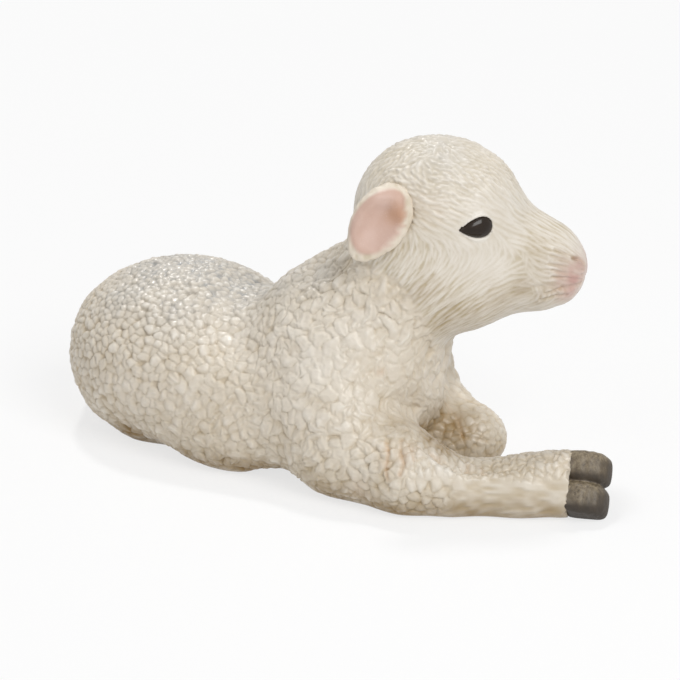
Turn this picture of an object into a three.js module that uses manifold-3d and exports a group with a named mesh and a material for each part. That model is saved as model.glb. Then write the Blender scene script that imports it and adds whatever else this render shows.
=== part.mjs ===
// Reclining lamb: a moulded and hand-painted farm figure in solid vinyl.
// Units are millimetres. +X runs from rump to breast, +Y to the lamb's left and +Z up.
// The figure is sculpted as clay is: rounded masses blended under one skin, then parted into its mouldings.
// A table of shares gives each mass's place and radii as shares of the length, width and height that carry it.
import * as THREE from "three";
import { mergeVertices } from "three/addons/utils/BufferGeometryUtils.js";
import Module from "manifold-3d";

const degrees = THREE.MathUtils.degToRad;

// Driving dimensions of the torso and neck
const TORSO_LENGTH = 43;
const TORSO_WIDTH = 23;
const TORSO_HEIGHT = 20;
const NECK_ROOT_RADIUS = 8.8;
const NECK_TOP_RADIUS = 7.5;

// Driving dimensions of the head
const HEAD_LENGTH = 24.4;
const HEAD_WIDTH = 14.4;
const HEAD_HEIGHT = 22.5;
const HEAD_TURN = degrees(27);
const EYE_LENGTH = 3.9;
const EYE_HEIGHT = 2.7;
const EAR_LENGTH = 8.8;
const EAR_WIDTH = 7;
const EAR_THICKNESS = 2.6;
const EAR_TAPER_SHARE = 0.34;
const EYE_TAPER_SHARE = 0.32;
const MOUTH_WIDTH = 0.3;
const MOUTH_DEPTH = 0.5;
const NOSTRIL_LENGTH = 1.4;

// Driving dimensions of the legs, hooves and tail
const STRETCHED_FORELEG_LENGTH = 24.2;
const FOLDED_FORELEG_LENGTH = 12;
const FORELEG_RADIUS = 4.7;
const HIND_SHANK_LENGTH = 13;
const HIND_SHANK_RADIUS = 3.3;
const KEEL_WIDTH = 3.7;
const BELLY_WALL = 1;
const HOOF_LENGTH = 3.7;
const HOOF_WIDTH = 6.5;
const HOOF_HEIGHT = 4.2;
const CLEFT_WIDTH = 0.35;
const PEG_RADIUS = 1.3;
const TAIL_LENGTH = 6.6;
const TAIL_RADIUS = 2.3;

// Fillets where the clay masses run together
const TORSO_BLEND = 3;
const LIMB_BLEND = 1.6;
const FACE_BLEND = 2.2;

// Fit of the mouldings, and the depth to which the figure is cut flat to stand
const SEAM_MARGIN = 1.4;
const JOINT_CLEARANCE = 0.3;
const BASE_FLAT_DEPTH = 0.35;

// Spacing of the skins' vertices, and the number of flats round a ball
const TORSO_PITCH = 2.25;
const HEAD_PITCH = 1.5;
const LIMB_PITCH = 1.7;
const SEAT_PITCH = 2.5;
const BALL_SEGMENTS = 14;
const WELD = 1e-4;

const wasm = await Module();
wasm.setup();

const TORSO_SIZE = new THREE.Vector3(TORSO_LENGTH, TORSO_WIDTH, TORSO_HEIGHT);
const HEAD_SIZE = new THREE.Vector3(HEAD_LENGTH, HEAD_WIDTH, HEAD_HEIGHT);
const EAR_SIZE = new THREE.Vector3(EAR_LENGTH, EAR_THICKNESS, EAR_WIDTH);
const HOOF_SIZE = new THREE.Vector3(HOOF_LENGTH, HOOF_WIDTH, HOOF_HEIGHT);

// A point or a set of radii given as shares of a length, a width and a height
const placed = (shares, size) => new THREE.Vector3(...shares).multiply(size);

// A mass holds the box around a rounded body and the signed distance of any point from its surface
function ellipsoid(centre, radii, turn) {
  const spin = new THREE.Quaternion().setFromEuler(turn);
  const inward = new THREE.Matrix4().compose(centre, spin, new THREE.Vector3(1, 1, 1)).invert();
  const reach = Math.max(...radii.toArray());
  const box = new THREE.Box3(centre.clone().subScalar(reach), centre.clone().addScalar(reach));
  const local = new THREE.Vector3();
  const distance = (point) => {
    local.copy(point).applyMatrix4(inward).divide(radii);
    const level = local.length();
    const slope = local.divide(radii).length();
    return slope > 0 ? (level * (level - 1)) / slope : -Math.min(...radii.toArray());
  };
  return { box, distance };
}

// A tapering round limb between two points
function limb(from, to, fromRadius, toRadius) {
  const along = to.clone().sub(from);
  const box = new THREE.Box3().setFromPoints([from, to]).expandByScalar(Math.max(fromRadius, toRadius));
  const local = new THREE.Vector3();
  const distance = (point) => {
    const share = THREE.MathUtils.clamp(local.copy(point).sub(from).dot(along) / along.lengthSq(), 0, 1);
    return local.addScaledVector(along, -share).length() - THREE.MathUtils.lerp(fromRadius, toRadius, share);
  };
  return { box, distance };
}

// The nearer of two distances, rounded by a fillet where they meet
function softMin(a, b, softness) {
  const overlap = Math.max(softness - Math.abs(a - b), 0) / softness;
  return Math.min(a, b) - (overlap * overlap * softness) / 4;
}

const blend = (softness, masses) => ({
  box: masses.reduce((box, mass) => box.union(mass.box), new THREE.Box3()),
  distance: (point) => masses.reduce((nearest, mass) => softMin(nearest, mass.distance(point), softness), Infinity),
});

// The part of a mass that lies within a growth of another
const nearTo = (mass, other, growth) => ({
  box: other.box.clone().expandByScalar(growth),
  distance: (point) => Math.max(mass.distance(point), other.distance(point) - growth),
});

// A mass moved by a place
function moved(mass, place) {
  const inward = place.clone().invert();
  const local = new THREE.Vector3();
  const distance = (point) => mass.distance(local.copy(point).applyMatrix4(inward));
  return { box: mass.box.clone().applyMatrix4(place), distance };
}

// Steps down the distance's slope bring a point of the net onto the surface
function settle(vertex, distance, pitch) {
  const step = pitch / 100;
  const probe = new THREE.Vector3();
  const slope = new THREE.Vector3();
  for (let turn = 0; turn < 2; turn++) {
    const here = distance(vertex);
    for (const axis of ["x", "y", "z"]) {
      probe.copy(vertex)[axis] += step;
      slope[axis] = (distance(probe) - here) / step;
    }
    const travel = here / Math.max(slope.lengthSq(), 0.25);
    vertex.addScaledVector(slope, -THREE.MathUtils.clamp(travel, -pitch / 4, pitch / 4));
  }
  return vertex;
}

// The closed skin of a mass, from a grid of cells:
// one vertex in each cell that the surface crosses, and a quad across each crossed edge
function skin(mass, pitch, growth) {
  const low = mass.box.min.clone().subScalar(2 * pitch + growth);
  const high = mass.box.max.clone().addScalar(2 * pitch + growth);
  const counts = high.sub(low).divideScalar(pitch).ceil().addScalar(1);
  const strides = [1, counts.x, counts.x * counts.y];
  const cellOf = (n) => [n % counts.x, Math.floor(n / strides[1]) % counts.y, Math.floor(n / strides[2])];
  const corner = (cell) => new THREE.Vector3(...cell).multiplyScalar(pitch).add(low);
  const distance = (point) => mass.distance(point) - growth;
  const levels = Float64Array.from({ length: strides[2] * counts.z }, (_, n) => distance(corner(cellOf(n))));
  const crosses = (n, stride) => levels[n] < 0 !== levels[n + stride] < 0;

  const positions = [];
  const netVertices = new Map();
  const vertexOf = (n) => {
    if (netVertices.has(n)) return netVertices.get(n);
    const sum = new THREE.Vector3();
    let crossings = 0;
    for (let axis = 0; axis < 3; axis++)
      for (let side = 0; side < 4; side++) {
        const start = cellOf(n);
        start[(axis + 1) % 3] += side & 1;
        start[(axis + 2) % 3] += side >> 1;
        const at = start[0] + start[1] * strides[1] + start[2] * strides[2];
        if (!crosses(at, strides[axis])) continue;
        start[axis] += levels[at] / (levels[at] - levels[at + strides[axis]]);
        sum.add(corner(start));
        crossings++;
      }
    netVertices.set(n, positions.length / 3);
    positions.push(...settle(sum.divideScalar(crossings), distance, pitch).toArray());
    return netVertices.get(n);
  };
  const pointOf = (index) => new THREE.Vector3().fromArray(positions, 3 * index);
  const span = (from, to) => pointOf(from).distanceTo(pointOf(to));
  const faces = [];
  for (let n = strides[2]; n < levels.length - strides[2]; n++)
    for (let axis = 0; axis < 3; axis++) {
      if (!crosses(n, strides[axis])) continue;
      const [u, v] = [strides[(axis + 1) % 3], strides[(axis + 2) % 3]];
      const quad = [n, n - u, n - u - v, n - v].map(vertexOf);
      if (levels[n] >= 0) quad.reverse();
      const [a, b, c, d] = span(quad[0], quad[2]) <= span(quad[1], quad[3]) ? quad : [...quad.slice(1), quad[0]];
      faces.push(a, b, c, a, c, d);
    }
  const geometry = new THREE.BufferGeometry();
  geometry.setAttribute("position", new THREE.Float32BufferAttribute(positions, 3));
  return geometry.setIndex(faces);
}

// A geometry whose faces share their corners
function welded(geometry) {
  geometry.deleteAttribute("normal");
  geometry.deleteAttribute("uv");
  return mergeVertices(geometry, WELD);
}

// A closed geometry as a solid that can be joined and cut
function solidOf(geometry) {
  const vertProperties = Float32Array.from(geometry.getAttribute("position").array);
  const triVerts = Uint32Array.from(geometry.index.array);
  return new wasm.Manifold(new wasm.Mesh({ numProp: 3, vertProperties, triVerts }));
}

const solidSkin = (mass, pitch, growth = 0) => solidOf(skin(mass, pitch, growth));

// A smooth ball stretched to three radii, narrower towards -X by a taper, and grown all round to cut its own socket
function ballSolid(radii, place, growth = 0, taperShare = 0) {
  const ball = welded(new THREE.SphereGeometry(1, BALL_SEGMENTS, BALL_SEGMENTS / 2));
  const spots = ball.getAttribute("position");
  for (let n = 0; n < spots.count; n++) {
    const width = 1 - (taperShare * (1 - spots.getX(n))) / 2;
    spots.setXYZ(n, spots.getX(n), spots.getY(n) * width, spots.getZ(n) * width);
  }
  return solidOf(ball.applyMatrix4(place.clone().scale(radii.clone().addScalar(growth))));
}

// A place turned about its own axes
const placeOf = (point, turn) => new THREE.Matrix4().makeRotationFromEuler(turn).setPosition(point);

function meshOf(name, solid, material) {
  const { vertProperties, triVerts } = solid.getMesh();
  const geometry = new THREE.BufferGeometry();
  geometry.setAttribute("position", new THREE.Float32BufferAttribute(vertProperties, 3));
  geometry.setIndex(Array.from(triVerts));
  geometry.computeVertexNormals();
  const mesh = new THREE.Mesh(geometry, material);
  mesh.name = name;
  return mesh;
}

// Ellipsoids from a table of shares, mirrored to both sides where the row says so
const massesOf = (rows, size) =>
  rows.flatMap(({ centre, radii, pitch = 0, paired = false }) => {
    const turn = new THREE.Euler(0, degrees(pitch), 0);
    return (paired ? [-1, 1] : [1]).map((side) => {
      const middle = placed(centre, size);
      middle.y *= side;
      return ellipsoid(middle, placed(radii, size), turn);
    });
  });

// Torso, from its middle at floor level: rump, buttock, ribs, shoulders, breast, haunches and upper arms
const torsoShares = [
  { centre: [-0.195, 0, 0.455], radii: [0.31, 0.509, 0.49] },
  { centre: [-0.29, -0.09, 0.31], radii: [0.165, 0.3, 0.3] },
  { centre: [0.2, 0, 0.47], radii: [0.262, 0.455, 0.51] },
  { centre: [0.267, 0, 0.55], radii: [0.233, 0.448, 0.525] },
  { centre: [0.325, 0, 0.45], radii: [0.11, 0.26, 0.4] },
  { centre: [0.01, 0.361, 0.31], radii: [0.215, 0.174, 0.32], paired: true },
  { centre: [0.302, 0.391, 0.35], radii: [0.14, 0.157, 0.3], paired: true },
];
const neckRoot = placed([0.275, 0, 0.735], TORSO_SIZE);
const neckTop = placed([0.412, 0.065, 1.14], TORSO_SIZE);
const torsoForm = blend(TORSO_BLEND, [
  ...massesOf(torsoShares, TORSO_SIZE),
  limb(neckRoot, neckTop, NECK_ROOT_RADIUS, NECK_TOP_RADIUS),
]);

// Head, from the middle of its skull: cranium, forehead, jaw, bridge of the nose, muzzle, nose and chin
const headShares = [
  { centre: [0, 0, 0.06], radii: [0.345, 0.493, 0.355] },
  { centre: [0.145, 0, 0.075], radii: [0.23, 0.404, 0.27] },
  { centre: [0.08, 0, -0.22], radii: [0.32, 0.438, 0.31] },
  { centre: [0.355, 0, -0.055], radii: [0.27, 0.25, 0.125], pitch: 36 },
  { centre: [0.377, 0, -0.19], radii: [0.27, 0.315, 0.225] },
  { centre: [0.54, 0, -0.22], radii: [0.115, 0.24, 0.15] },
  { centre: [0.485, 0, -0.322], radii: [0.13, 0.199, 0.075] },
];
const headForm = blend(FACE_BLEND, massesOf(headShares, HEAD_SIZE));
const headPlace = placeOf(placed([0.46, 0.096, 1.38], TORSO_SIZE), new THREE.Euler(0, 0, HEAD_TURN));

// The forelegs' seats leave the keel of the breast between them,
// and a wall of the belly between each and the hind hoof behind it
const SEAT_DEPTH = SEAM_MARGIN + JOINT_CLEARANCE;
const foreRoot = (side, alongShare) =>
  new THREE.Vector3(alongShare * TORSO_LENGTH, side * (KEEL_WIDTH / 2 + SEAT_DEPTH + FORELEG_RADIUS), 0);
function hindRoot(fore, asideShare) {
  const coronet = fore.x - FORELEG_RADIUS - BELLY_WALL - HIND_SHANK_RADIUS - 2 * SEAT_DEPTH;
  return new THREE.Vector3(coronet - HIND_SHANK_LENGTH, asideShare * TORSO_WIDTH, 0);
}
const rightForeRoot = foreRoot(-1, 0.335);
const leftForeRoot = foreRoot(1, 0.285);

// A leg lies along the floor from its root under the torso, as a chain of rounded joints.
// Each joint's place is a share of the leg's length and its girth a share of the leg's radius.
function legOf({ root, heading, length, radius, joints, hoofHeading, hoofRoll = 0 }) {
  const course = placeOf(root, new THREE.Euler(0, 0, degrees(heading)));
  const spots = joints.map(({ along, aside = 0, girth }) => {
    const height = girth * radius - BASE_FLAT_DEPTH;
    return new THREE.Vector3(along * length, aside * length, height).applyMatrix4(course);
  });
  const links = spots.slice(1).map((spot, n) => {
    return limb(spots[n], spot, joints[n].girth * radius, joints[n + 1].girth * radius);
  });
  const turn = new THREE.Euler(degrees(hoofRoll), 0, degrees(hoofHeading), "ZYX");
  return { form: blend(LIMB_BLEND, links), coronet: placeOf(spots[spots.length - 1], turn) };
}

const legs = {
  right_fore: legOf({
    root: rightForeRoot,
    heading: 14,
    length: STRETCHED_FORELEG_LENGTH,
    radius: FORELEG_RADIUS,
    joints: [
      { along: 0, girth: 1.07 },
      { along: 0.31, aside: -0.09, girth: 0.97 },
      { along: 0.49, aside: -0.075, girth: 0.79 },
      { along: 0.61, aside: -0.04, girth: 0.68 },
      { along: 0.77, aside: -0.03, girth: 0.69 },
      { along: 1, girth: 0.77 },
    ],
    hoofHeading: 16,
    hoofRoll: 50,
  }),
  left_fore: legOf({
    root: leftForeRoot,
    heading: -16,
    length: FOLDED_FORELEG_LENGTH,
    radius: FORELEG_RADIUS,
    joints: [
      { along: 0, girth: 0.94 },
      { along: 0.5, girth: 0.84 },
      { along: 0.97, girth: 0.66 },
      { along: 0.9, aside: -0.18, girth: 0.52 },
      { along: 0.3, aside: -0.36, girth: 0.46 },
    ],
    hoofHeading: 170,
  }),
  right_hind: legOf({
    root: hindRoot(rightForeRoot, -0.19),
    heading: 3,
    length: HIND_SHANK_LENGTH,
    radius: HIND_SHANK_RADIUS,
    joints: [
      { along: 0, girth: 1 },
      { along: 0.55, aside: 0.04, girth: 0.8 },
      { along: 1, aside: 0.08, girth: 0.75 },
    ],
    hoofHeading: 0,
  }),
  left_hind: legOf({
    root: hindRoot(leftForeRoot, 0.42),
    heading: 4,
    length: HIND_SHANK_LENGTH,
    radius: HIND_SHANK_RADIUS,
    joints: [
      { along: 0, girth: 1.1 },
      { along: 0.55, aside: 0.04, girth: 0.85 },
      { along: 1, aside: 0.02, girth: 0.78 },
    ],
    hoofHeading: 4,
  }),
};

// Tail, hanging close to the rump from its root
const tailRoot = placed([-0.45, 0, 0.56], TORSO_SIZE);
const tailCourseShares = [-0.12, 0.12, -1];
const tailTip = new THREE.Vector3(...tailCourseShares).multiplyScalar(TAIL_LENGTH).add(tailRoot);
const tailForm = limb(tailRoot, tailTip, TAIL_RADIUS * 0.8, TAIL_RADIUS);

// The whole clay figure, with a fillet where each limb leaves the torso
const legForms = Object.values(legs).map(({ form }) => form);
const lambForm = blend(LIMB_BLEND, [torsoForm, moved(headForm, headPlace), ...legForms, tailForm]);

// A moulding keeps the figure's own skin around its form, out to a parting surface a margin beyond it
const partingSkin = (form, clearance = 0) => solidSkin(form, SEAT_PITCH, SEAM_MARGIN + clearance);
const partedFrom = (whole, form, pitch) =>
  solidSkin(nearTo(whole, form, SEAM_MARGIN + 2 * pitch), pitch).intersect(partingSkin(form));

// Eyes: beads let into the sides of the face, drawn to a corner at the rear
function eyeSolid(side, clearance = 0) {
  const turn = new THREE.Euler(0, degrees(-3), side * degrees(-18));
  const radii = new THREE.Vector3(EYE_LENGTH, EYE_HEIGHT, EYE_HEIGHT).divideScalar(2);
  const place = placeOf(placed([0.156, side * 0.392, 0.078], HEAD_SIZE), turn);
  return ballSolid(radii, place, clearance, EYE_TAPER_SHARE);
}

// Ears: leaves hollowed on the outer side, that droop back from a root let into the skull
function earSolid({ side, centre, droop, sweep, flare }, clearance = 0, parent = new THREE.Matrix4()) {
  const turn = new THREE.Euler(degrees(side * flare), degrees(-droop), degrees(-side * sweep), "YXZ");
  const place = placeOf(placed(centre, HEAD_SIZE), turn).premultiply(parent);
  const at = (shares) => place.clone().setPosition(placed(shares, EAR_SIZE).applyMatrix4(place));
  const leaf = ballSolid(EAR_SIZE.clone().divideScalar(2), place, clearance, EAR_TAPER_SHARE);
  const root = ballSolid(placed([0.2, 0.8, 0.2], EAR_SIZE), at([0.3, -side * 0.5, 0]), clearance);
  if (clearance > 0) return leaf.add(root);
  const bowl = ballSolid(placed([0.39, 0.7, 0.4], EAR_SIZE), at([-0.055, side * 0.5, 0]), 0, EAR_TAPER_SHARE);
  return leaf.add(root).subtract(bowl);
}

// Mouth: a groove where a flat lens meets the muzzle, as deep as the core inside it allows
function mouthGroove() {
  const radii = placed([0.15, 0.42, 0], HEAD_SIZE).setZ(MOUTH_WIDTH);
  const lens = ballSolid(radii, placeOf(placed([0.53, 0, -0.262], HEAD_SIZE), new THREE.Euler(0, degrees(4), 0)));
  return lens.subtract(solidSkin(headForm, HEAD_PITCH, -MOUTH_DEPTH));
}

// Nostrils: a slanted pit on each side of the nose
function nostrilPit(side) {
  const radii = new THREE.Vector3(NOSTRIL_LENGTH, NOSTRIL_LENGTH, NOSTRIL_LENGTH / 2).divideScalar(2);
  const turn = new THREE.Euler(0, degrees(25), side * degrees(-40));
  return ballSolid(radii, placeOf(placed([0.632, side * 0.1, -0.165], HEAD_SIZE), turn));
}

// One claw of a hoof: its side profile, drawn out to its width with rounded edges
function clawGeometry(side, clearance) {
  const size = HOOF_SIZE.clone().addScalar(2 * clearance);
  const at = (along, up) => [along * size.x, up * size.z];
  const profile = new THREE.Shape();
  profile.moveTo(...at(0, -0.5));
  profile.lineTo(...at(0.78, -0.5));
  profile.quadraticCurveTo(...at(1.04, -0.5), ...at(1, -0.12));
  profile.quadraticCurveTo(...at(0.94, 0.36), ...at(0.5, 0.44));
  profile.lineTo(...at(0, 0.5));
  const width = (HOOF_WIDTH - CLEFT_WIDTH) / 2 + 2 * clearance;
  const round = Math.min(width * 0.27, size.x * 0.225, size.z * 0.2);
  const bevel = { bevelThickness: round, bevelSize: round, bevelOffset: -round, bevelSegments: 3 };
  const claw = new THREE.ExtrudeGeometry(profile, { depth: width - 2 * round, curveSegments: 3, ...bevel });
  const aside = (side * (HOOF_WIDTH + CLEFT_WIDTH)) / 4;
  return welded(claw).rotateX(Math.PI / 2).translate(JOINT_CLEARANCE - clearance, width / 2 - round + aside, 0);
}

// A cloven hoof from the middle of its coronet: two claws joined by the peg that is let into the leg
function hoofSolid(coronet, clearance = 0) {
  const claws = [-1, 1].map((side) => clawGeometry(side, clearance));
  const pegRadius = PEG_RADIUS + clearance;
  const pegLength = HOOF_LENGTH * 0.9 + clearance;
  const peg = welded(new THREE.CylinderGeometry(pegRadius, pegRadius, pegLength, BALL_SEGMENTS));
  peg.rotateZ(Math.PI / 2).translate(HOOF_LENGTH * 0.45 - pegLength / 2, 0, 0);
  const forms = [...claws, peg].map((form) => solidOf(form.applyMatrix4(coronet)));
  return forms[0].add(forms[1]).add(forms[2]);
}

// What a leg loses beyond its coronet, so that it ends square where the hoof begins
function legEnd(coronet) {
  const [length, girth] = [HOOF_LENGTH * 1.2, HOOF_WIDTH * 1.2];
  const block = welded(new THREE.BoxGeometry(length, girth, girth));
  return solidOf(block.translate(length / 2, 0, 0).applyMatrix4(coronet));
}

// The floor cuts the figure flat
function floorSlab() {
  const depth = TORSO_LENGTH;
  return solidOf(welded(new THREE.BoxGeometry(4 * depth, 4 * depth, depth)).translate(0, 0, -depth / 2));
}

const fleece = new THREE.MeshStandardMaterial({ color: 0xd9d0bf, roughness: 0.6, metalness: 0 });
const faceHair = new THREE.MeshStandardMaterial({ color: 0xe0d6c6, roughness: 0.55, metalness: 0 });
const earSkin = new THREE.MeshStandardMaterial({ color: 0xd3ab99, roughness: 0.55, metalness: 0 });
const horn = new THREE.MeshStandardMaterial({ color: 0x6b6157, roughness: 0.5, metalness: 0 });
const eyeGloss = new THREE.MeshStandardMaterial({ color: 0x241a12, roughness: 0.12, metalness: 0 });

const figure = new THREE.Group();
const floor = floorSlab();
let torsoSolid = solidSkin(lambForm, TORSO_PITCH).subtract(floor);
let tailSolid = partedFrom(lambForm, tailForm, LIMB_PITCH).subtract(floor);

// Legs and hooves, each let into a seat of its own
for (const [name, { form, coronet }] of Object.entries(legs)) {
  const socket = hoofSolid(coronet, JOINT_CLEARANCE);
  const legSolid = partedFrom(lambForm, form, LIMB_PITCH).subtract(legEnd(coronet)).subtract(socket).subtract(floor);
  figure.add(meshOf(`${name}_leg`, legSolid, fleece));
  figure.add(meshOf(`${name}_hoof`, hoofSolid(coronet).subtract(floor), horn));
  const seat = partingSkin(form, JOINT_CLEARANCE).add(socket);
  torsoSolid = torsoSolid.subtract(seat);
  tailSolid = tailSolid.subtract(seat);
}

// Tail
figure.add(meshOf("tail", tailSolid, fleece));
torsoSolid = torsoSolid.subtract(partingSkin(tailForm, JOINT_CLEARANCE));

// Head, turned to the lamb's left, with its ears and eyes
const headGroup = new THREE.Group();
headGroup.applyMatrix4(headPlace);
torsoSolid = torsoSolid.subtract(partingSkin(moved(headForm, headPlace), JOINT_CLEARANCE));
let headSolid = partedFrom(moved(lambForm, headPlace.clone().invert()), headForm, HEAD_PITCH);
const ears = {
  right_ear: { side: -1, centre: [-0.245, -0.47, 0.097], droop: 56, sweep: 16, flare: 6 },
  left_ear: { side: 1, centre: [-0.14, 0.5, -0.06], droop: 72, sweep: 14, flare: 6 },
};
for (const [name, ear] of Object.entries(ears)) {
  headSolid = headSolid.subtract(earSolid(ear, JOINT_CLEARANCE));
  torsoSolid = torsoSolid.subtract(earSolid(ear, JOINT_CLEARANCE, headPlace));
  headGroup.add(meshOf(name, earSolid(ear), earSkin));
}
for (const [name, side] of [["right_eye", -1], ["left_eye", 1]]) {
  headSolid = headSolid.subtract(eyeSolid(side, JOINT_CLEARANCE)).subtract(nostrilPit(side));
  headGroup.add(meshOf(name, eyeSolid(side), eyeGloss));
}
headGroup.add(meshOf("head", headSolid.subtract(mouthGroove()), faceHair));
figure.add(headGroup);
figure.add(meshOf("torso", torsoSolid, fleece));

// The origin lies on the floor below the middle of the figure's box
const middle = new THREE.Box3().setFromObject(figure, true).getCenter(new THREE.Vector3());
figure.position.set(-middle.x, -middle.y, 0);
const lamb = new THREE.Group();
lamb.add(figure);

export default lamb;
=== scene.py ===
"""A reclining toy lamb: a moulded vinyl figure with curly wool, combed hair and painted hooves.

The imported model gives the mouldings. This file dresses them: one skin is drawn over the torso, head,
legs and tail, carved with wool and hair, and parted again into mouldings that meet without a step.
Sculpting is worked out in millimetres, and meshes are in metres.
"""

import functools
import math

import bmesh
import bpy
import numpy as np
from mathutils import Matrix, Vector
from mathutils.bvhtree import BVHTree
from mathutils.kdtree import KDTree


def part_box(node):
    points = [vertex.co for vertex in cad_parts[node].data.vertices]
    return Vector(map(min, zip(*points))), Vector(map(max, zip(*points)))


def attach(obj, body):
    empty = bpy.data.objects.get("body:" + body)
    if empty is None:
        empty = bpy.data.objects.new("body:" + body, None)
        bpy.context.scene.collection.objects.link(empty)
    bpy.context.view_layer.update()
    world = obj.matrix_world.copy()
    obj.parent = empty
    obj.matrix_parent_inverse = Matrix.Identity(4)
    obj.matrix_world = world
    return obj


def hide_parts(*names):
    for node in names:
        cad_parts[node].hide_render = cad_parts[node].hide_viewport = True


bl_info = {
    "name": "Reclining lamb",
    "version": (1, 0, 0),
    "blender": (4, 5, 0),
    "location": "3D View > Sidebar > Lamb",
    "description": "Dresses the mouldings of a reclining toy lamb with wool, hair, eyes, ears and hooves",
    "category": "Object",
}

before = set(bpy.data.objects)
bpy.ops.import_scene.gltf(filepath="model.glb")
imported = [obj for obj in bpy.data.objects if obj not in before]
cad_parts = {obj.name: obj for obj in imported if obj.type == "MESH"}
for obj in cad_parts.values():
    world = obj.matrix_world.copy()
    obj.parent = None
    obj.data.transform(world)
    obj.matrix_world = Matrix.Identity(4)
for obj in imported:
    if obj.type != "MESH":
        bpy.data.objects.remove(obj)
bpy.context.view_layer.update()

MM = 0.001
SEED = 7

# The view of the photograph
PHOTO_SIZE = 680
VIEW_AZIMUTH = math.radians(27)
VIEW_ELEVATION = math.radians(22)
VIEW_DISTANCE = 420.0
PIXELS_PER_MM = 9.3
VIEW_WIDTH = PHOTO_SIZE / PIXELS_PER_MM
VIEW_TARGET = Vector((-2.084, 3.721, 11.466))

# The nodes that share one skin
SKINNED = ("torso", "head", "right_fore_leg", "left_fore_leg", "right_hind_leg", "left_hind_leg", "tail")

# The limbs that end in a hoof
HOOVED = ("right_fore", "left_fore", "right_hind", "left_hind")

# Where the skin of the rump ends and that of the ribs begins, at the floor, and its slope
WAIST_X = -12.0
WAIST_SLOPE = 0.3


def node_middle(node):
    """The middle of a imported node's box, in millimetres."""
    low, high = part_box(node)
    return (Vector(low) + Vector(high)) / (2.0 * MM)


# The planes that mirror the near side's carving to the far side: a point on each and its normal
TORSO_MIRROR = (node_middle("torso"), Vector((0.0, 1.0, 0.0)))
HEAD_MIRROR = (
    (node_middle("right_eye") + node_middle("left_eye")) / 2.0,
    (node_middle("left_eye") - node_middle("right_eye")).normalized(),
)
HEAD_FORWARD = HEAD_MIRROR[1].cross(Vector((0.0, 0.0, 1.0))).normalized()

# Spacing of the curls in millimetres, at pixels of the photograph
CURL_SPACING = [
    (190, 262, 0.72), (130, 278, 0.78), (235, 276, 0.72), (90, 330, 0.95), (120, 350, 1.15), (170, 325, 1.0),
    (110, 400, 1.3), (200, 420, 1.4), (262, 390, 1.4), (262, 450, 1.35), (225, 330, 1.2), (290, 277, 1.1),
    (300, 330, 1.5), (350, 290, 1.5), (350, 370, 1.9), (400, 390, 1.9), (395, 300, 1.9), (432, 335, 1.7),
    (400, 345, 2.0), (430, 390, 1.6), (330, 430, 1.5), (440, 447, 1.15), (465, 457, 1.0), (340, 480, 1.35),
    (390, 470, 1.2), (440, 490, 1.2), (480, 408, 0.9), (470, 440, 0.9), (180, 380, 1.4), (230, 300, 1.0),
    (150, 300, 0.85),
]

# How deep the curls are, at pixels of the photograph
CURL_RELIEF = [
    (190, 262, 1.15), (130, 285, 1.1), (90, 340, 1.0), (170, 330, 1.1), (120, 400, 0.8), (200, 400, 0.65),
    (260, 350, 0.75), (300, 350, 0.6), (350, 370, 0.5), (400, 385, 0.5), (360, 320, 0.8), (400, 310, 0.9),
    (432, 340, 0.8), (300, 290, 0.9), (330, 440, 0.8), (390, 470, 1.1), (360, 490, 0.8), (440, 490, 0.6),
    (440, 446, 1.1), (465, 456, 1.0), (495, 458, 0.9), (470, 405, 0.6), (490, 425, 0.5), (455, 392, 0.55),
    (250, 440, 0.85), (425, 390, 0.55),
]

# Combed hair on the head: root and tip of strokes, as pixels of the photograph
COMB_STROKES = [
    (415, 192, 443, 198), (452, 200, 478, 212), (465, 165, 495, 182), (485, 155, 512, 175),
    (523, 200, 552, 220), (552, 220, 577, 245), (502, 225, 535, 240), (523, 252, 568, 258),
    (527, 283, 568, 290), (435, 233, 477, 245), (438, 267, 415, 292), (462, 297, 442, 317),
    (502, 293, 468, 313), (560, 302, 527, 302), (438, 145, 405, 148), (378, 165, 363, 195),
    (415, 167, 442, 180), (395, 152, 375, 165), (470, 150, 490, 160), (430, 215, 452, 218),
    (420, 250, 400, 275), (480, 262, 450, 275), (540, 268, 500, 266),
]

# How deep the combing is: deep on forehead and jaw, slight on cheek, nose and round the eye
HAIR_STRENGTH = [
    (485, 165, 1.15), (440, 150, 1.2), (400, 150, 1.1), (450, 180, 1.2), (515, 190, 1.1), (430, 200, 1.0),
    (470, 260, 0.35), (500, 262, 0.3), (450, 245, 0.5), (530, 265, 0.65), (555, 240, 1.25), (560, 256, 1.25),
    (575, 275, 0.25), (584, 268, 0.15), (550, 285, 0.8), (440, 300, 1.3), (470, 305, 1.2), (420, 280, 1.3),
    (510, 297, 1.1), (545, 300, 0.9), (475, 227, 0.3), (500, 225, 0.5), (525, 225, 0.9), (365, 185, 0.8),
    (580, 290, 0.2), (430, 240, 0.9),
]

# The line of the stretched shank, from below the elbow to the hoof, as pixels of the photograph
SHANK_LINE = [(400, 476), (560, 487)]

# Carved lines, as stops at pixels of the photograph
MOUTH_LINE = [(584, 286), (574, 288), (562, 288)]
MOUTH_REAR = [(562, 288), (548, 286), (534, 287)]
NOSTRIL_LINE = [(575, 257), (580, 256), (585, 259), (587, 264)]
NOSE_CLEFT = [(584, 266), (584, 276), (582, 284)]

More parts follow.
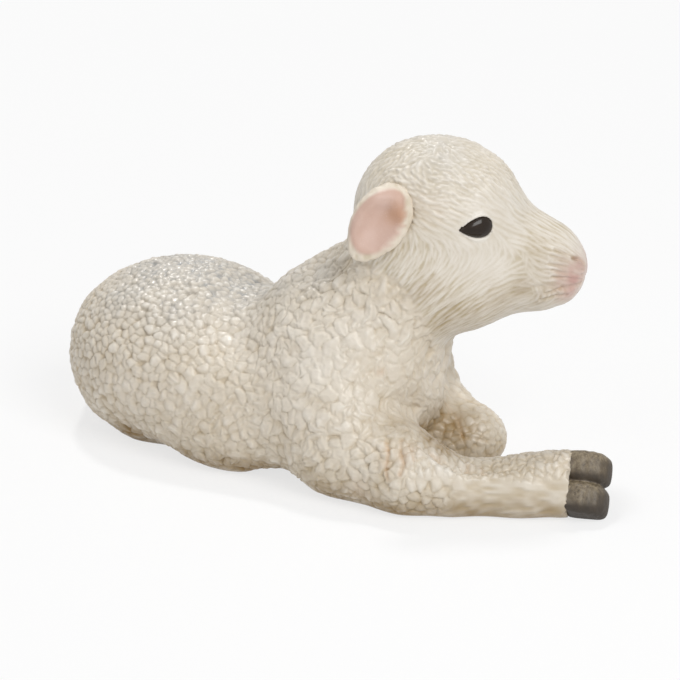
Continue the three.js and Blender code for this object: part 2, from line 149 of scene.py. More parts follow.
# Creases of the forelegs: stops at pixels of the photograph, depth in millimetres and strength of their wash
LEG_CREASES = [
    ([(386, 443), (389, 454), (386, 467), (388, 480)], 0.15, 0.8),
    ([(402, 441), (400, 451), (404, 463), (400, 475)], 0.15, 0.8),
    ([(414, 443), (412, 452), (414, 460)], 0.12, 0.6),
    ([(431, 446), (437, 450)], 0.1, 0.5),
    ([(469, 452), (466, 461)], 0.08, 0.4),
    ([(481, 457), (482, 470)], 0.08, 0.4),
    ([(464, 436), (485, 440), (503, 441)], 0.09, 0.12),
    ([(447, 406), (458, 420), (463, 436)], 0.1, 0.35),
]

# Fine wrinkles that fan back from the nose and the lips, as pixels of the photograph
NOSE_WRINKLES = [
    [(556, 249), (568, 252), (581, 257)],
    [(552, 256), (566, 259), (585, 264)],
    [(550, 263), (564, 266), (586, 269)],
    [(552, 270), (565, 273), (586, 275)],
    [(553, 277), (567, 279), (585, 281)],
    [(546, 294), (560, 292), (574, 292)],
    [(540, 300), (556, 299), (569, 298)],
]

# Where the skin is pressed in or drawn out: pixel of the photograph, then in millimetres how far to the
# right and up in its view, and the reach
MUZZLE_NUDGES = [(577, 294, -0.5, 0.45, 2.0), (565, 305, 0.0, 0.38, 2.0), (584, 266, -0.32, -0.08, 2.2)]
HEAD_NUDGES = [(574, 238, -0.15, -0.32, 2.4), (553, 217, -0.05, -0.15, 2.5), (504, 168, -0.2, -0.22, 3.5)]
TORSO_NUDGES = [
    (334, 254, 0.6, -0.75, 2.6), (345, 242, 0.5, -0.5, 2.2), (317, 264, 0.3, -0.5, 2.4),
    (252, 280, -0.1, -0.5, 2.6), (266, 286, -0.3, -0.45, 2.2), (286, 284, -0.15, 0.25, 1.8),
    (443, 362, -0.95, 0.0, 2.6), (450, 378, -0.9, -0.1, 2.4), (444, 347, -0.4, 0.0, 2.0),
]
ELBOW_NUDGES = [
    (430, 434, 0.0, -0.8, 1.5), (440, 440, 0.0, -1.0, 1.5), (450, 444, 0.0, -1.5, 1.5),
    (459, 448, 0.0, -1.65, 1.5), (470, 452, 0.0, -1.3, 1.5), (485, 454, 0.0, -1.05, 1.5),
    (503, 456, 0.0, -0.7, 1.5), (522, 457, 0.0, -0.4, 1.5),
]

# Half the length and half the height of an eye, in millimetres
EYE_REACH = 1.85
EYE_RISE = 1.12

# How far a value given at a pixel of the photograph spreads over the skin, in millimetres
SPACING_REACH = 3.2
RELIEF_REACH = 3.0
HAIR_REACH = 2.2
COMB_REACH = 2.6

# Curls, each measure from the least to the most: distance, length and width as shares of the spacing there,
# bend and height as shares of a full one, and the most that a curl is parted
CURL_CROWDING_SHARES = (0.56, 0.92)
CURL_LENGTH_SHARES = (1.25, 1.6)
CURL_WIDTH_SHARES = (1.1, 1.4)
CURL_BEND_SHARES = (0.3, 0.8)
CURL_HEIGHT_SHARES = (0.72, 1.0)
CURL_PARTING_SHARE = 0.3

# Spacings in millimetres between which round curls turn to commas, and between which they turn flat
COMMA_SPACINGS = (0.9, 1.5)
FLAT_SPACINGS = (0.85, 1.4)

# The direction in which the curls fall, and how far each strays from it
CURL_FALL = (-0.5, 0.0, -0.6)
CURL_STRAY = 0.8

# Upright lumps on the stretched shank, in millimetres, how far each strays from upright, and the depth of
# the tendon lines below them
UPRIGHT_GAP = 0.78
UPRIGHT_LENGTHS = (1.9, 3.2)
UPRIGHT_WIDTHS = (1.05, 1.45)
UPRIGHT_STRAY = 0.22
TENDON_DEPTH = 0.11

# Tufts of hair: gap and lengths in millimetres, and width as a share of the setting
FINE_TUFTS = (0.52, (1.5, 3.0), 1.0)
LOCKS = (1.0, (3.0, 4.6), 2.4)
TUFT_WIDTH_SHARES = (0.75, 1.25)
TUFT_HEIGHT_SHARES = (0.6, 1.0)

# Heights above the floor, in millimetres, between which the hair turns short and ruffled
CROWN_TUFTS = (29.0, 34.0)
CROWN_RELIEF = (28.0, 33.0)

# Carved lines: width, depth and the height of the lips beside them, in millimetres
CREASE_WIDTH, CREASE_LIP = 0.36, 0.03
WRINKLE = (0.32, 0.12, 0.06)
MOUTH = (0.46, 0.16, 0.08)
MOUTH_END = (0.5, 0.06, 0.03)
NOSTRIL = (0.46, 0.2, 0.08)
PHILTRUM_WIDTH, PHILTRUM_DEPTH = 0.22, 0.16
LIPS_WIDTH, LIPS_DEPTH = 0.25, 0.13

# The philtrum's middle is looked for this far ahead of the middle between the muzzle's sides
MUZZLE_AHEAD = 1.5

# An eye's socket, in millimetres: how deep it is, how high the lid round it is, how far from its middle the
# skin is changed, and how far round it the skin's direction is averaged
SOCKET_DEPTH = 0.75
LID_HEIGHT = 0.16
SOCKET_REACH = 3.4
EYE_FACING_REACH = 1.6

# How much further a nudge reaches along the line of sight than across it
MUZZLE_NUDGE_DEPTH = 2.0
ELBOW_NUDGE_DEPTH = 3.0

# The height that an eye's outline narrows from towards both ends, so that it is as high as EYE_RISE says
EYE_PEAK = EYE_RISE * 1.3

# An eye's bead: length and height as shares of its outline's, and half its depth in millimetres
BEAD_LENGTH, BEAD_HEIGHT, BEAD_DEPTH = 1.05, 1.12, 0.95

# How a hoof's parts are told apart, in millimetres: the toes' and the peg's distances from the leg, how far
# the leg's end reaches round the peg, and how far round the hoof's edge the wool is drawn over it
TOES_BEYOND = 1.6
PEG_WITHIN = 0.45
LEG_END_REACH = 3.5
HOOF_EDGE_REACH = 5.0

# How far the skin is swollen before it is drawn on its grid, and the width of the border of the hair
SKIN_SWELL = 0.25 * MM
HAIR_BLEND = 0.9

# Patches of the skin with fewer faces than this are given to the moulding round them
LEAST_PATCH = 600

# How many times the seams between mouldings are smoothed
SEAM_ROUNDS = 12

# An ear's painted inside: how far its middle lies towards the tip and its length, as shares of the leaf
INSIDE_SHIFT = 0.14
INSIDE_LENGTH = 0.875

# Height of the short hair on an ear's back, in millimetres
EAR_TUFT = 0.07

# A cleft is where another part of a hoof is near: how far off the skin the look begins, and how far it goes
CLEFT_START = 0.25
CLEFT_REACH = 1.6

# The lamps: place and size in metres, and the setting of their power; then their aim and the floor's reach
LAMPS = (
    ("key_lamp", (0.32, -0.2, 0.34), 0.26, "key_power"),
    ("fill_lamp", (-0.22, -0.34, 0.3), 0.3, "fill_power"),
    ("top_lamp", (-0.12, 0.12, 0.42), 0.05, "top_power"),
)
LAMP_AIM = (0.0, 0.0, 0.015)
FLOOR_REACH = 3.0

# Distances from the middle, in metres, between which the floor turns from shadow to plain white, and the
# share of white that it has near the figure
SHADOW_FROM, SHADOW_TO = 0.08, 0.4
SHADOW_GLOW = 0.72

# Painted washes, painted light and painted shade: kind, pixel of the photograph, radius in millimetres and
# strength
WASHES = [
    # Painted cool shade on the back and rump, with painted glints on its raised parts
    ("cool", 235, 285, 5.5, 0.8), ("cool", 200, 268, 5.5, 0.9), ("cool", 262, 292, 3.0, 0.7),
    ("cool", 290, 280, 3.0, 0.5), ("cool", 440, 150, 3.5, 0.3), ("cool", 160, 268, 5.0, 0.8),
    ("cool", 130, 290, 4.0, 0.65), ("cool", 180, 300, 5.0, 0.6), ("cool", 315, 272, 3.0, 0.5),
    # Painted light on lit patches of the ribs, arm and knee
    ("pale", 285, 335, 3.2, 0.5), ("pale", 312, 365, 4.0, 0.55), ("pale", 345, 335, 4.0, 0.4),
    ("pale", 440, 466, 2.2, 0.7), ("pale", 425, 470, 2.0, 0.6), ("pale", 495, 415, 2.0, 0.35),
    ("pale", 345, 455, 3.0, 0.35), ("pale", 300, 395, 3.5, 0.3), ("pale", 250, 340, 4.0, 0.2),
    ("pale", 380, 340, 3.5, 0.25),
    ("blush", 384, 464, 0.7, 0.35), ("blush", 403, 456, 0.9, 0.5), ("blush", 411, 447, 0.8, 0.4),
    ("blush", 386, 450, 0.6, 0.3), ("blush", 437, 448, 0.8, 0.3), ("blush", 360, 490, 1.2, 0.3),
    ("blush", 381, 372, 0.5, 0.45), ("blush", 425, 208, 2.2, 0.22), ("blush", 468, 454, 0.6, 0.25),
    # Painted shade in recesses, under the jaw and at the mouth's corners
    ("olive", 450, 428, 2.4, 1.0), ("olive", 440, 422, 2.2, 1.0), ("olive", 461, 436, 2.0, 0.9),
    ("olive", 432, 424, 1.6, 1.0), ("olive", 438, 432, 2.0, 1.0), ("olive", 130, 434, 2.2, 1.0),
    ("olive", 250, 470, 2.0, 0.8), ("olive", 220, 462, 1.6, 0.5),
    ("olive", 520, 288, 1.6, 0.55), ("olive", 545, 296, 1.7, 0.35), ("olive", 445, 320, 2.2, 0.35),
    ("olive", 425, 292, 2.0, 0.4), ("olive", 452, 311, 2.0, 0.3), ("olive", 560, 264, 1.8, 0.3),
    ("olive", 578, 256, 0.6, 0.4), ("olive", 540, 256, 2.2, 0.25), ("olive", 430, 508, 1.6, 0.3),
    ("olive", 500, 302, 2.2, 0.3), ("olive", 470, 312, 2.0, 0.3),
    ("pink", 577, 279, 2.2, 0.95), ("pink", 583, 268, 1.5, 0.85), ("pink", 574, 294, 1.6, 0.8),
]


def paint(red, green, blue):
    """A paint's linear colour from its red, green and blue on a screen's scale of 255."""
    return tuple(((c / 255 + 0.055) / 1.055) ** 2.4 for c in (red, green, blue))


def length_setting(name, description, default):
    """A size in metres that shows in the sidebar."""
    return bpy.props.FloatProperty(
        name=name, description=description, default=default, min=0.0, unit="LENGTH", precision=6
    )


def colour_setting(name, description, default):
    """A paint's colour that shows in the sidebar."""
    return bpy.props.FloatVectorProperty(
        name=name, description=description, default=default, size=3, min=0.0, max=1.0, subtype="COLOR"
    )


def number_setting(name, description, default, **options):
    """A plain number that shows in the sidebar."""
    return bpy.props.FloatProperty(name=name, description=description, default=default, **options)


class FleeceSettings(bpy.types.PropertyGroup):
    """Sizes and paints of the wool"""

    skin_pitch: length_setting("Skin pitch", "Grid on which the skin is first drawn", 0.285 * MM)
    skin_growth: length_setting("Skin growth", "How far the skin stands off the mouldings", 0.1 * MM)
    curl_depth: length_setting("Curl depth", "Height of a curl of middle size", 0.46 * MM)
    wash_share: number_setting("Wash", "How much wash lies between the curls", 0.8)
    # Dry-brushed paint on the raised parts, partly painted highlight
    dry_brush_and_glint: number_setting("Dry brush", "Light paint on the raised parts", 0.4)
    paint_main: colour_setting("Fleece", "Cream paint of the wool", paint(218, 208, 192))
    paint_groove: colour_setting("Groove wash", "Tan wash that lies in the grooves", paint(186, 166, 132))
    # Painted shade towards the floor, low on the belly and legs
    paint_low_shade: colour_setting("Underside wash", "Wash low on the belly and legs", paint(176, 158, 124))
    # Painted cool shade on the back and rump, flat and in the grooves there
    paint_back_shade: colour_setting("Back wash", "Blue-grey wash on the back and rump", paint(144, 151, 158))
    # Painted shade in recesses and along the floor's edge
    paint_olive_shade: colour_setting("Recess wash", "Olive-brown wash in the recesses", paint(142, 112, 58))
    paint_blush: colour_setting("Crease wash", "Orange-pink wash in the leg's creases", paint(188, 146, 104))


class FaceSettings(bpy.types.PropertyGroup):
    """Sizes and paints of the face and the eyes"""

    hair_depth: length_setting("Hair depth", "Height of the combed tufts", 0.15 * MM)
    hair_width: length_setting("Hair width", "Width of a tuft", 0.38 * MM)
    paint_main: colour_setting("Hair", "Cream paint of the face", paint(228, 221, 210))
    # Dry-brush paint, also the colour of painted light and painted highlights
    paint_dry_brush_and_highlight: colour_setting("Dry brush", "Light paint on the raised parts", paint(240, 235, 226))
    paint_groove: colour_setting("Hair wash", "Wash between the tufts", paint(178, 161, 124))
    paint_nose: colour_setting("Nose", "Pink paint of the nose and lips", paint(188, 145, 135))
    paint_eye: colour_setting("Eye", "Dark paint of the eyes", paint(34, 24, 15))
    eye_bulge: length_setting("Eye bulge", "How far the eye stands out between its lids", 0.3 * MM)


class EarSettings(bpy.types.PropertyGroup):
    """Sizes and paints of the ears"""

    rim_rear: length_setting("Rear rim", "Width of the cream rim behind and at the tip", 0.24 * MM)
    rim_front: length_setting("Front fold", "Width of the cream fold in front", 0.5 * MM)
    paint_inside: colour_setting("Inside", "Pink paint inside the ear", paint(205, 175, 161))
    paint_shade: colour_setting("Inner shade", "Brown-orange wash at the ear's root", paint(182, 136, 104))
    paint_back: colour_setting("Back", "Cream paint of the ear's back and rim", paint(228, 217, 201))


class HoofSettings(bpy.types.PropertyGroup):
    """Sizes and paints of the hooves"""

    streak_depth: length_setting("Streak depth", "Depth of the growth lines", 0.02 * MM)
    reach_back: length_setting("Reach back", "How far the horn reaches back into the wool", 0.6 * MM)
    paint_main: colour_setting("Hoof", "Grey-brown paint of the hooves", paint(98, 85, 66))
    # Light dry-brushed streaks, also the colour of painted light on the tops
    paint_dry_brush_and_highlight: colour_setting("Dry brush", "Light streaks on the hooves", paint(160, 146, 120))
    # Dark streaks, and painted shade in the cleft, on the sides and at the rim
    paint_streak_and_shade: colour_setting("Cleft", "Dark wash in the cleft and at the rim", paint(52, 44, 36))


class StageSettings(bpy.types.PropertyGroup):
    """Lamps, sky and floor"""

    key_power: number_setting("Key", "Power of the main lamp", 1.4, unit="POWER")
    fill_power: number_setting("Fill", "Power of the fill lamp", 0.2, unit="POWER")
    top_power: number_setting("Top", "Power of the top lamp", 0.68, unit="POWER")
    sky_level: number_setting("Sky", "Level of the light from all round", 0.3)
    floor_paint: colour_setting("Floor", "Colour of the floor", paint(244, 244, 244))


# Places on the photograph's view


def view_axes():
    """The camera's right, up and backward directions."""
    a, e = VIEW_AZIMUTH, VIEW_ELEVATION
    right = Vector((math.cos(a), math.sin(a), 0.0))
    back = Vector((math.sin(a) * math.cos(e), -math.cos(a) * math.cos(e), math.sin(e)))
    return right, back.cross(right), back


def mirrored(vector, mirror, is_place):
    """A place or a direction reflected to the far side of a mirror plane."""
    origin, normal = mirror
    offset = vector - origin if is_place else vector
    return vector - normal * (2.0 * offset.dot(normal))


def smooth_step(low, high, values):
    """0 below low, 1 above high, and a smooth rise between them."""
    share = np.clip((values - low) / (high - low), 0.0, 1.0)
    return share * share * (3.0 - 2.0 * share)


def hash_noise(cells, seed):
    """A number between -1 and 1 for each whole-numbered cell."""
    mixed = cells[..., 0] * 374761393 + cells[..., 1] * 668265263 + cells[..., 2] * 2147483647 + seed * 144665
    mixed = (mixed ^ (mixed >> 13)) * 1274126177
    return ((mixed ^ (mixed >> 16)) & 0xFFFF) / 32767.5 - 1.0


def soft_noise(points, scale, seed):
    """Smooth noise between about -1 and 1, with lumps of one scale."""
    place = points / scale
    cell = np.floor(place).astype(np.int64)
    share = place - cell
    share = share * share * (3.0 - 2.0 * share)
    total = np.zeros(len(points))
    for corner in range(8):
        step = np.array([corner & 1, (corner >> 1) & 1, corner >> 2])
        weight = np.prod(np.where(step == 1, share, 1.0 - share), axis=1)
        total += weight * hash_noise(cell + step, seed)
    return total


def noise_vectors(points, scale, seed):
    """Three smooth noises, as one vector for each point."""
    return np.stack([soft_noise(points, scale, seed + n) for n in range(3)], axis=1)


def unit_rows(vectors):
    """Each row of an array as a unit vector."""
    return vectors / np.maximum(np.linalg.norm(vectors, axis=1, keepdims=True), 1e-9)


# The skin


def merged_copy(names):
    """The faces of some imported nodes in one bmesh, with their shared corners merged."""
    bm = bmesh.new()
    for name in names:
        bm.from_mesh(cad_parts[name].data)
    bmesh.ops.remove_doubles(bm, verts=bm.verts, dist=1e-6)
    return bm


def modify(item, name, kind, **options):
    """Adds a modifier with its settings to an object."""
    modifier = item.modifiers.new(name, kind)
    for option, value in options.items():
        setattr(modifier, option, value)


def remeshed(bm, name, growth, pitch, rounds, shrink):
    """A fine even skin around a bmesh: grown, drawn again on a grid, smoothed, drawn in and subdivided."""
    mesh = bpy.data.meshes.new(name)
    bm.to_mesh(mesh)
    bm.free()
    rough = bpy.data.objects.new(name, mesh)
    bpy.context.scene.collection.objects.link(rough)
    modify(rough, "Grow", "DISPLACE", mid_level=0.0, strength=growth)
    modify(rough, "Grid", "REMESH", mode="VOXEL", voxel_size=pitch)
    modify(rough, "Smooth", "SMOOTH", factor=0.5, iterations=rounds)
    modify(rough, "Settle", "DISPLACE", mid_level=0.0, strength=-shrink)
    modify(rough, "Finer", "SUBSURF", levels=1, render_levels=1)
    result = bpy.data.meshes.new_from_object(rough.evaluated_get(bpy.context.evaluated_depsgraph_get()))
    bpy.data.objects.remove(rough)
    bpy.data.meshes.remove(mesh)
    result.name = name
    return result


def mesh_points(mesh):
    """A mesh's corners in millimetres, one row each."""
    values = np.empty(len(mesh.vertices) * 3, np.float32)
    mesh.vertices.foreach_get("co", values)
    return values.reshape(-1, 3).astype(float) / MM


def mesh_normals(mesh):
    """The normals at a mesh's corners, one row each."""
    values = np.empty(len(mesh.vertices) * 3, np.float32)
    mesh.vertex_normals.foreach_get("vector", values)
    return values.reshape(-1, 3).astype(float)


def set_points(mesh, points):
    """Moves a mesh's corners to places in millimetres."""
    mesh.vertices.foreach_set("co", (points * MM).astype(np.float32).ravel())
    mesh.update()


def set_attribute(mesh, name, values):
    """Keeps a value between 0 and 1 at each corner, for the materials to read."""
    attribute = mesh.attributes.get(name) or mesh.attributes.new(name, "FLOAT", "POINT")
    attribute.data.foreach_set("value", np.clip(values, 0.0, 1.0).astype(np.float32))


def shade_smooth(mesh):
    """Shades all of a mesh's faces smoothly."""
    mesh.polygons.foreach_set("use_smooth", [True] * len(mesh.polygons))


def tree_of(points):
    """A search tree over some points."""
    tree = KDTree(len(points))
    for n, point in enumerate(points):
        tree.insert(point, n)
    tree.balance()
    return tree


def surface_tree(names):
    """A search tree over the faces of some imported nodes, in millimetres."""
    corners, faces = [], []
    for name in names:
        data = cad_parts[name].data
        start = len(corners)
        corners.extend(vertex.co / MM for vertex in data.vertices)
        faces.extend([start + n for n in polygon.vertices] for polygon in data.polygons)
    return BVHTree.FromPolygons(corners, faces)


def surface_distance(tree, points):
    """The distance of each point from a search tree's faces."""
    return np.array([tree.find_nearest(point)[3] for point in points])


class Skin:
    """The continuous skin of the lamb: its points, its normals and what is carved into it."""

    def __init__(self, mesh):
        """Takes the uncarved skin and finds where it is covered with hair."""
        self.mesh = mesh
        self.points = mesh_points(mesh)
        self.normals = mesh_normals(mesh)
        self.count = len(self.points)
        self.tree = tree_of(self.points)
        self.solids = surface_tree(SKINNED)
        self.relief = np.zeros(self.count)
        self.cavity = np.zeros(self.count)
        self.shank = np.zeros(self.count)
        self.crease = np.zeros(self.count)
        self.drag = np.zeros((self.count, 3))
        self.random = np.random.default_rng(SEED)
        head = surface_distance(surface_tree(("head",)), self.points)
        trunk = surface_distance(surface_tree([name for name in SKINNED if name != "head"]), self.points)
        border = trunk - head + 0.5 * soft_noise(self.points, 1.3, 3)
        self.hair = smooth_step(-HAIR_BLEND, HAIR_BLEND, border)

    def at_pixel(self, x, y):
        """The number of the skin's point that the photograph's pixel shows."""
        right, up, back = view_axes()
        across = (x / PHOTO_SIZE - 0.5) * VIEW_WIDTH
        rise = (0.5 - y / PHOTO_SIZE) * VIEW_WIDTH
        eye = VIEW_TARGET + back * VIEW_DISTANCE
        aim = (VIEW_TARGET + right * across + up * rise - eye).normalized()
        return self.tree.find(self.solids.ray_cast(eye, aim)[0])[1]

    def place_at(self, x, y):
        """The place on the skin that the photograph's pixel shows."""
        return Vector(self.points[self.at_pixel(x, y)])

    def numbers_near(self, n, reach):
        """The numbers of the points that lie within a reach of one of them."""
        return np.array([other for _, other, _ in self.tree.find_range(self.points[n], reach)])

    def both_sides(self, place):
        """A place on the near side and its mirror image, the head's by its own plane."""
        n = self.tree.find(place)[1]
        mirror = HEAD_MIRROR if self.hair[n] > 0.5 else TORSO_MIRROR
        return [place, mirrored(place, mirror, True)]

    def scatter(self, spacing, allowed):
        """Numbers of points that lie no nearer to each other than the spacing there."""
        free = allowed.copy()
        chosen = []
        for n in self.random.permutation(np.flatnonzero(allowed)):
            if not free[n]:
                continue
            chosen.append(n)
            for _, other, _ in self.tree.find_range(self.points[n], spacing[n]):
                free[other] = False
        return np.array(chosen)


def blended(points, places, values, reach):
    """Values given at some places, blended by nearness over all points."""
    total = np.zeros(len(points))
    weights = np.full(len(points), 1e-12)
    for place, value in zip(places, values):
        weight = np.exp(-((points - np.array(place)) ** 2).sum(1) / (2.0 * reach * reach)) + 1e-9
        total += weight * value
        weights += weight
    return total / weights


def from_pixels(skin, spots, mirror, reach):
    """Values given at pixels of the photograph, blended over the whole skin, alike on both sides."""
    places, values = [], []
    for x, y, value in spots:
        place = skin.place_at(x, y)
        places += [place, mirrored(place, mirror, True)]
        values += [value, value]
    return blended(skin.points, places, values, reach)


def tangents(skin, numbers, directions):
    """Directions laid along the skin at some of its points, as unit vectors."""
    normals = skin.normals[numbers]
    return unit_rows(directions - normals * (directions * normals).sum(1, keepdims=True))


# Wool


class Curls:
    """Rounded, bent lumps laid over the skin; where they overlap the highest shows, creased all round."""

    def __init__(self, skin, places, fullness):
        """Takes the places that the lumps are measured by, and how full each point's lumps are."""
        self.skin = skin
        self.places = places
        self.fullness = fullness
        self.top = np.zeros(skin.count)
        self.under = np.zeros(skin.count)

    def lay(self, numbers, headings, lengths, widths, bends, heights, partings):
        """Raises one lump at each of some points, along its heading."""
        for curl in zip(numbers, headings, lengths, widths, bends, heights, partings):
            self.lay_one(*curl)

    def lay_one(self, n, heading, length, width, bend, height, parting):
        """Raises a lump that is highest at its tip; a parting grooves it along its bend."""
        near = self.skin.numbers_near(n, length * 0.6)
        offset = self.places[near] - self.places[n]
        along = offset @ heading
        across = offset @ np.cross(self.skin.normals[n], heading) - bend * along * along
        share = along / (length / 2.0)
        level = share**2 + (across / (width / 2.0 * (1.0 - 0.25 * share))) ** 2
        strands = np.exp(-(((np.abs(across) - 0.14 * width) / (0.1 * width)) ** 2))
        strands = strands * np.clip(1.0 - share**2, 0.0, 1.0)
        value = height * np.clip(1.0 - level, 0.0, 1.0) ** self.fullness[near] * (0.9 + 0.14 * share)
        value = value * (1.0 - parting * strands)
        self.under[near] = np.maximum(self.under[near], np.minimum(self.top[near], value))
        self.top[near] = np.maximum(self.top[near], value)

    def creases(self, width):
        """1 along the line where two lumps meet, fading out beside it."""
        return np.exp(-(((self.top - self.under) / width) ** 2)) * smooth_step(0.0, 0.3, self.top)


def curl_shapes(random, size):
    """Directions, lengths, widths, bends, heights and partings of curls; the large ones are commas."""
    count = len(size)
    comma = smooth_step(*COMMA_SPACINGS, size)
    directions = np.array(CURL_FALL) + random.normal(0.0, CURL_STRAY, (count, 3))
    lengths = size * random.uniform(*CURL_LENGTH_SHARES, count) * (1.0 + 0.3 * comma)
    widths = size * random.uniform(*CURL_WIDTH_SHARES, count) * (1.0 - 0.08 * comma)
    bends = random.choice([-1.0, 1.0], count) * random.uniform(*CURL_BEND_SHARES, count) * comma / size
    partings = CURL_PARTING_SHARE * comma * random.uniform(0.0, 1.0, count)
    heights = random.uniform(*CURL_HEIGHT_SHARES, count) - 0.12 * comma * random.uniform(0.0, 1.0, count)
    return directions, lengths, widths, bends, heights, partings


def carve_wool(skin, settings):
    """Curls: overlapping lumps, round and small on the rump, flatter and comma-shaped on side and neck."""
    spacing = from_pixels(skin, CURL_SPACING, TORSO_MIRROR, SPACING_REACH)
    strength = from_pixels(skin, CURL_RELIEF, TORSO_MIRROR, RELIEF_REACH)
    flat = smooth_step(*FLAT_SPACINGS, spacing)
    wool = (1.0 - skin.hair) * (1.0 - skin.shank)
    seeds = skin.scatter(spacing * skin.random.uniform(*CURL_CROWDING_SHARES, skin.count), wool > 0.02)
    directions, *shapes = curl_shapes(skin.random, spacing[seeds])
    places = skin.points + noise_vectors(skin.points, 0.8, 11) * 0.17 * spacing[:, None]
    curls = Curls(skin, places, 0.5 - 0.14 * flat)
    curls.lay(seeds, tangents(skin, seeds, directions), *shapes)
    creases = curls.creases(0.085) * smooth_step(-0.75, 0.25, soft_noise(skin.points, 1.7, 43) + 0.4)
    lobes = soft_noise(skin.points, 0.55, 23) * 0.18 + soft_noise(skin.points, 0.27, 29) * 0.1
    broad = soft_noise(skin.points, 2.4, 37) * 0.1
    depth = settings.curl_depth / MM * np.clip(spacing / 1.1, 0.75, 1.4) * strength
    amount = wool * smooth_step(0.1, 1.2, skin.points[:, 2])
    skin.relief += depth * amount * (curls.top - 0.7 + lobes + broad - 0.28 * creases)
    hollow = (0.42 - 0.22 * flat) * creases + smooth_step(0.7, 0.25, curls.top + 0.7 * lobes)
    skin.cavity += np.clip(hollow, 0.0, 1.0) * (0.15 + 0.85 * strength) * wool * settings.wash_share


def shank_frame(skin):
    """How far each point of the skin lies along the stretched shank, above its line and away from it."""
    start = np.array(skin.place_at(*SHANK_LINE[0]))
    end = np.array(skin.place_at(*SHANK_LINE[1]))
    heading = unit_rows((end - start)[None])[0]
    offset = skin.points - start
    along = offset @ heading
    rise = offset @ np.array(view_axes()[1])
    return along, rise, np.linalg.norm(offset - np.outer(along, heading), axis=1)


def lay_uprights(skin, where):
    """Long lumps that stand side by side across the top of the shank."""
    seeds = skin.scatter(np.full(skin.count, UPRIGHT_GAP), where)
    count = len(seeds)
    directions = np.array(view_axes()[1]) + skin.random.normal(0.0, UPRIGHT_STRAY, (count, 3))
    places = skin.points + noise_vectors(skin.points, 0.7, 107) * 0.12
    curls = Curls(skin, places, np.full(skin.count, 0.42))
    lengths = skin.random.uniform(*UPRIGHT_LENGTHS, count)
    widths = skin.random.uniform(*UPRIGHT_WIDTHS, count)
    bends = skin.random.uniform(-0.2, 0.2, count)
    heights = skin.random.uniform(0.6, 1.0, count)
    partings = skin.random.uniform(0.0, 0.15, count)
    curls.lay(seeds, tangents(skin, seeds, directions), lengths, widths, bends, heights, partings)
    return curls


def carve_shank(skin, settings):
    """Upright lumps along the top of the stretched shank and fine tendon lines below them."""
    along, rise, apart = shank_frame(skin)
    wander = along + 1.2 * soft_noise(skin.points, 1.6, 103)
    upper = smooth_step(-1.2, 0.6, rise + 0.6 * soft_noise(skin.points, 1.1, 113))
    bare = np.maximum(upper, smooth_step(4.0, 7.0, wander))
    beside = (1.0 - smooth_step(4.6, 5.8, apart)) * (1.0 - skin.hair)
    skin.shank = smooth_step(-1.5, 1.5, wander) * beside * bare
    curls = lay_uprights(skin, skin.shank * upper > 0.1)
    creases = curls.creases(0.09)
    tendon_places = np.stack([along / 3.2, rise / 0.34, skin.points[:, 1] / 0.5], axis=1)
    tendon = soft_noise(tendon_places, 1.0, 131)
    lumps = curls.top - 0.7 - 0.25 * creases + 0.12 * soft_noise(skin.points, 0.4, 137)
    lumps = 1.1 * settings.curl_depth / MM * lumps
    amount = skin.shank * smooth_step(0.1, 1.0, skin.points[:, 2])
    skin.relief += (upper * lumps + (1.0 - upper) * TENDON_DEPTH * tendon) * amount
    hollow = upper * np.clip(0.6 * creases + smooth_step(0.6, 0.2, curls.top), 0.0, 1.0)
    hollow = hollow + (1.0 - upper) * np.clip(-tendon, 0.0, 1.0) * 0.8
    skin.cavity += hollow * amount * settings.wash_share


# Hair


def comb_field(skin):
    """Places and directions of the comb strokes on both sides of the head."""
    places, headings = [], []
    for x0, y0, x1, y1 in COMB_STROKES:
        root = skin.place_at(x0, y0)
        tip = skin.place_at(x1, y1)
        middle = (root + tip) / 2.0
        heading = (tip - root).normalized()
        places += [middle, mirrored(middle, HEAD_MIRROR, True)]
        headings += [heading, mirrored(heading, HEAD_MIRROR, False)]
    return np.array(places), np.array(headings)


def lay_tufts(skin, numbers, headings, lengths, widths, heights, profile):
    """Raises a tapering tuft along each stroke; where tufts overlap the higher one shows."""
    for n, heading, length, width, height in zip(numbers, headings, lengths, widths, heights):
        near = skin.numbers_near(n, length * 0.55)
        offset = skin.points[near] - skin.points[n]
        along = offset @ heading
        across = np.linalg.norm(offset - np.outer(along, heading), axis=1)
        share = along / (length / 2.0)
        slim = width / 2.0 * np.clip(1.0 - 0.45 * share, 0.2, 1.3)
        body = np.clip(1.0 - share**2, 0.0, 1.0) ** 0.6 * np.clip(1.0 - (across / slim) ** 2, 0.0, 1.0)
        profile[near] = np.maximum(profile[near], height * body * (0.8 + 0.2 * share))


def comb_layer(skin, field, profile, gap, reach, girth):
    """Scatters one layer of tufts over the head, laid along the comb strokes and ruffled on the crown."""
    places, headings = field
    numbers = skin.scatter(np.full(skin.count, gap), skin.hair > 0.05)
    count = len(numbers)
    spots = skin.points[numbers]
    apart = ((spots[:, None, :] - places[None, :, :]) ** 2).sum(2)
    weights = np.exp(-apart / (2.0 * COMB_REACH**2)) + 1e-8
    crown = smooth_step(*CROWN_TUFTS, spots[:, 2])
    ruffle = (0.16 + 0.34 * crown)[:, None] * weights.sum(1, keepdims=True)
    flow = tangents(skin, numbers, weights @ headings + noise_vectors(spots, 1.6, 41) * ruffle)
    lengths = skin.random.uniform(*reach, count) * (1.0 - 0.58 * crown)
    widths = girth * skin.random.uniform(*TUFT_WIDTH_SHARES, count)
    heights = skin.random.uniform(*TUFT_HEIGHT_SHARES, count)
    lay_tufts(skin, numbers, flow, lengths, widths, heights, profile)


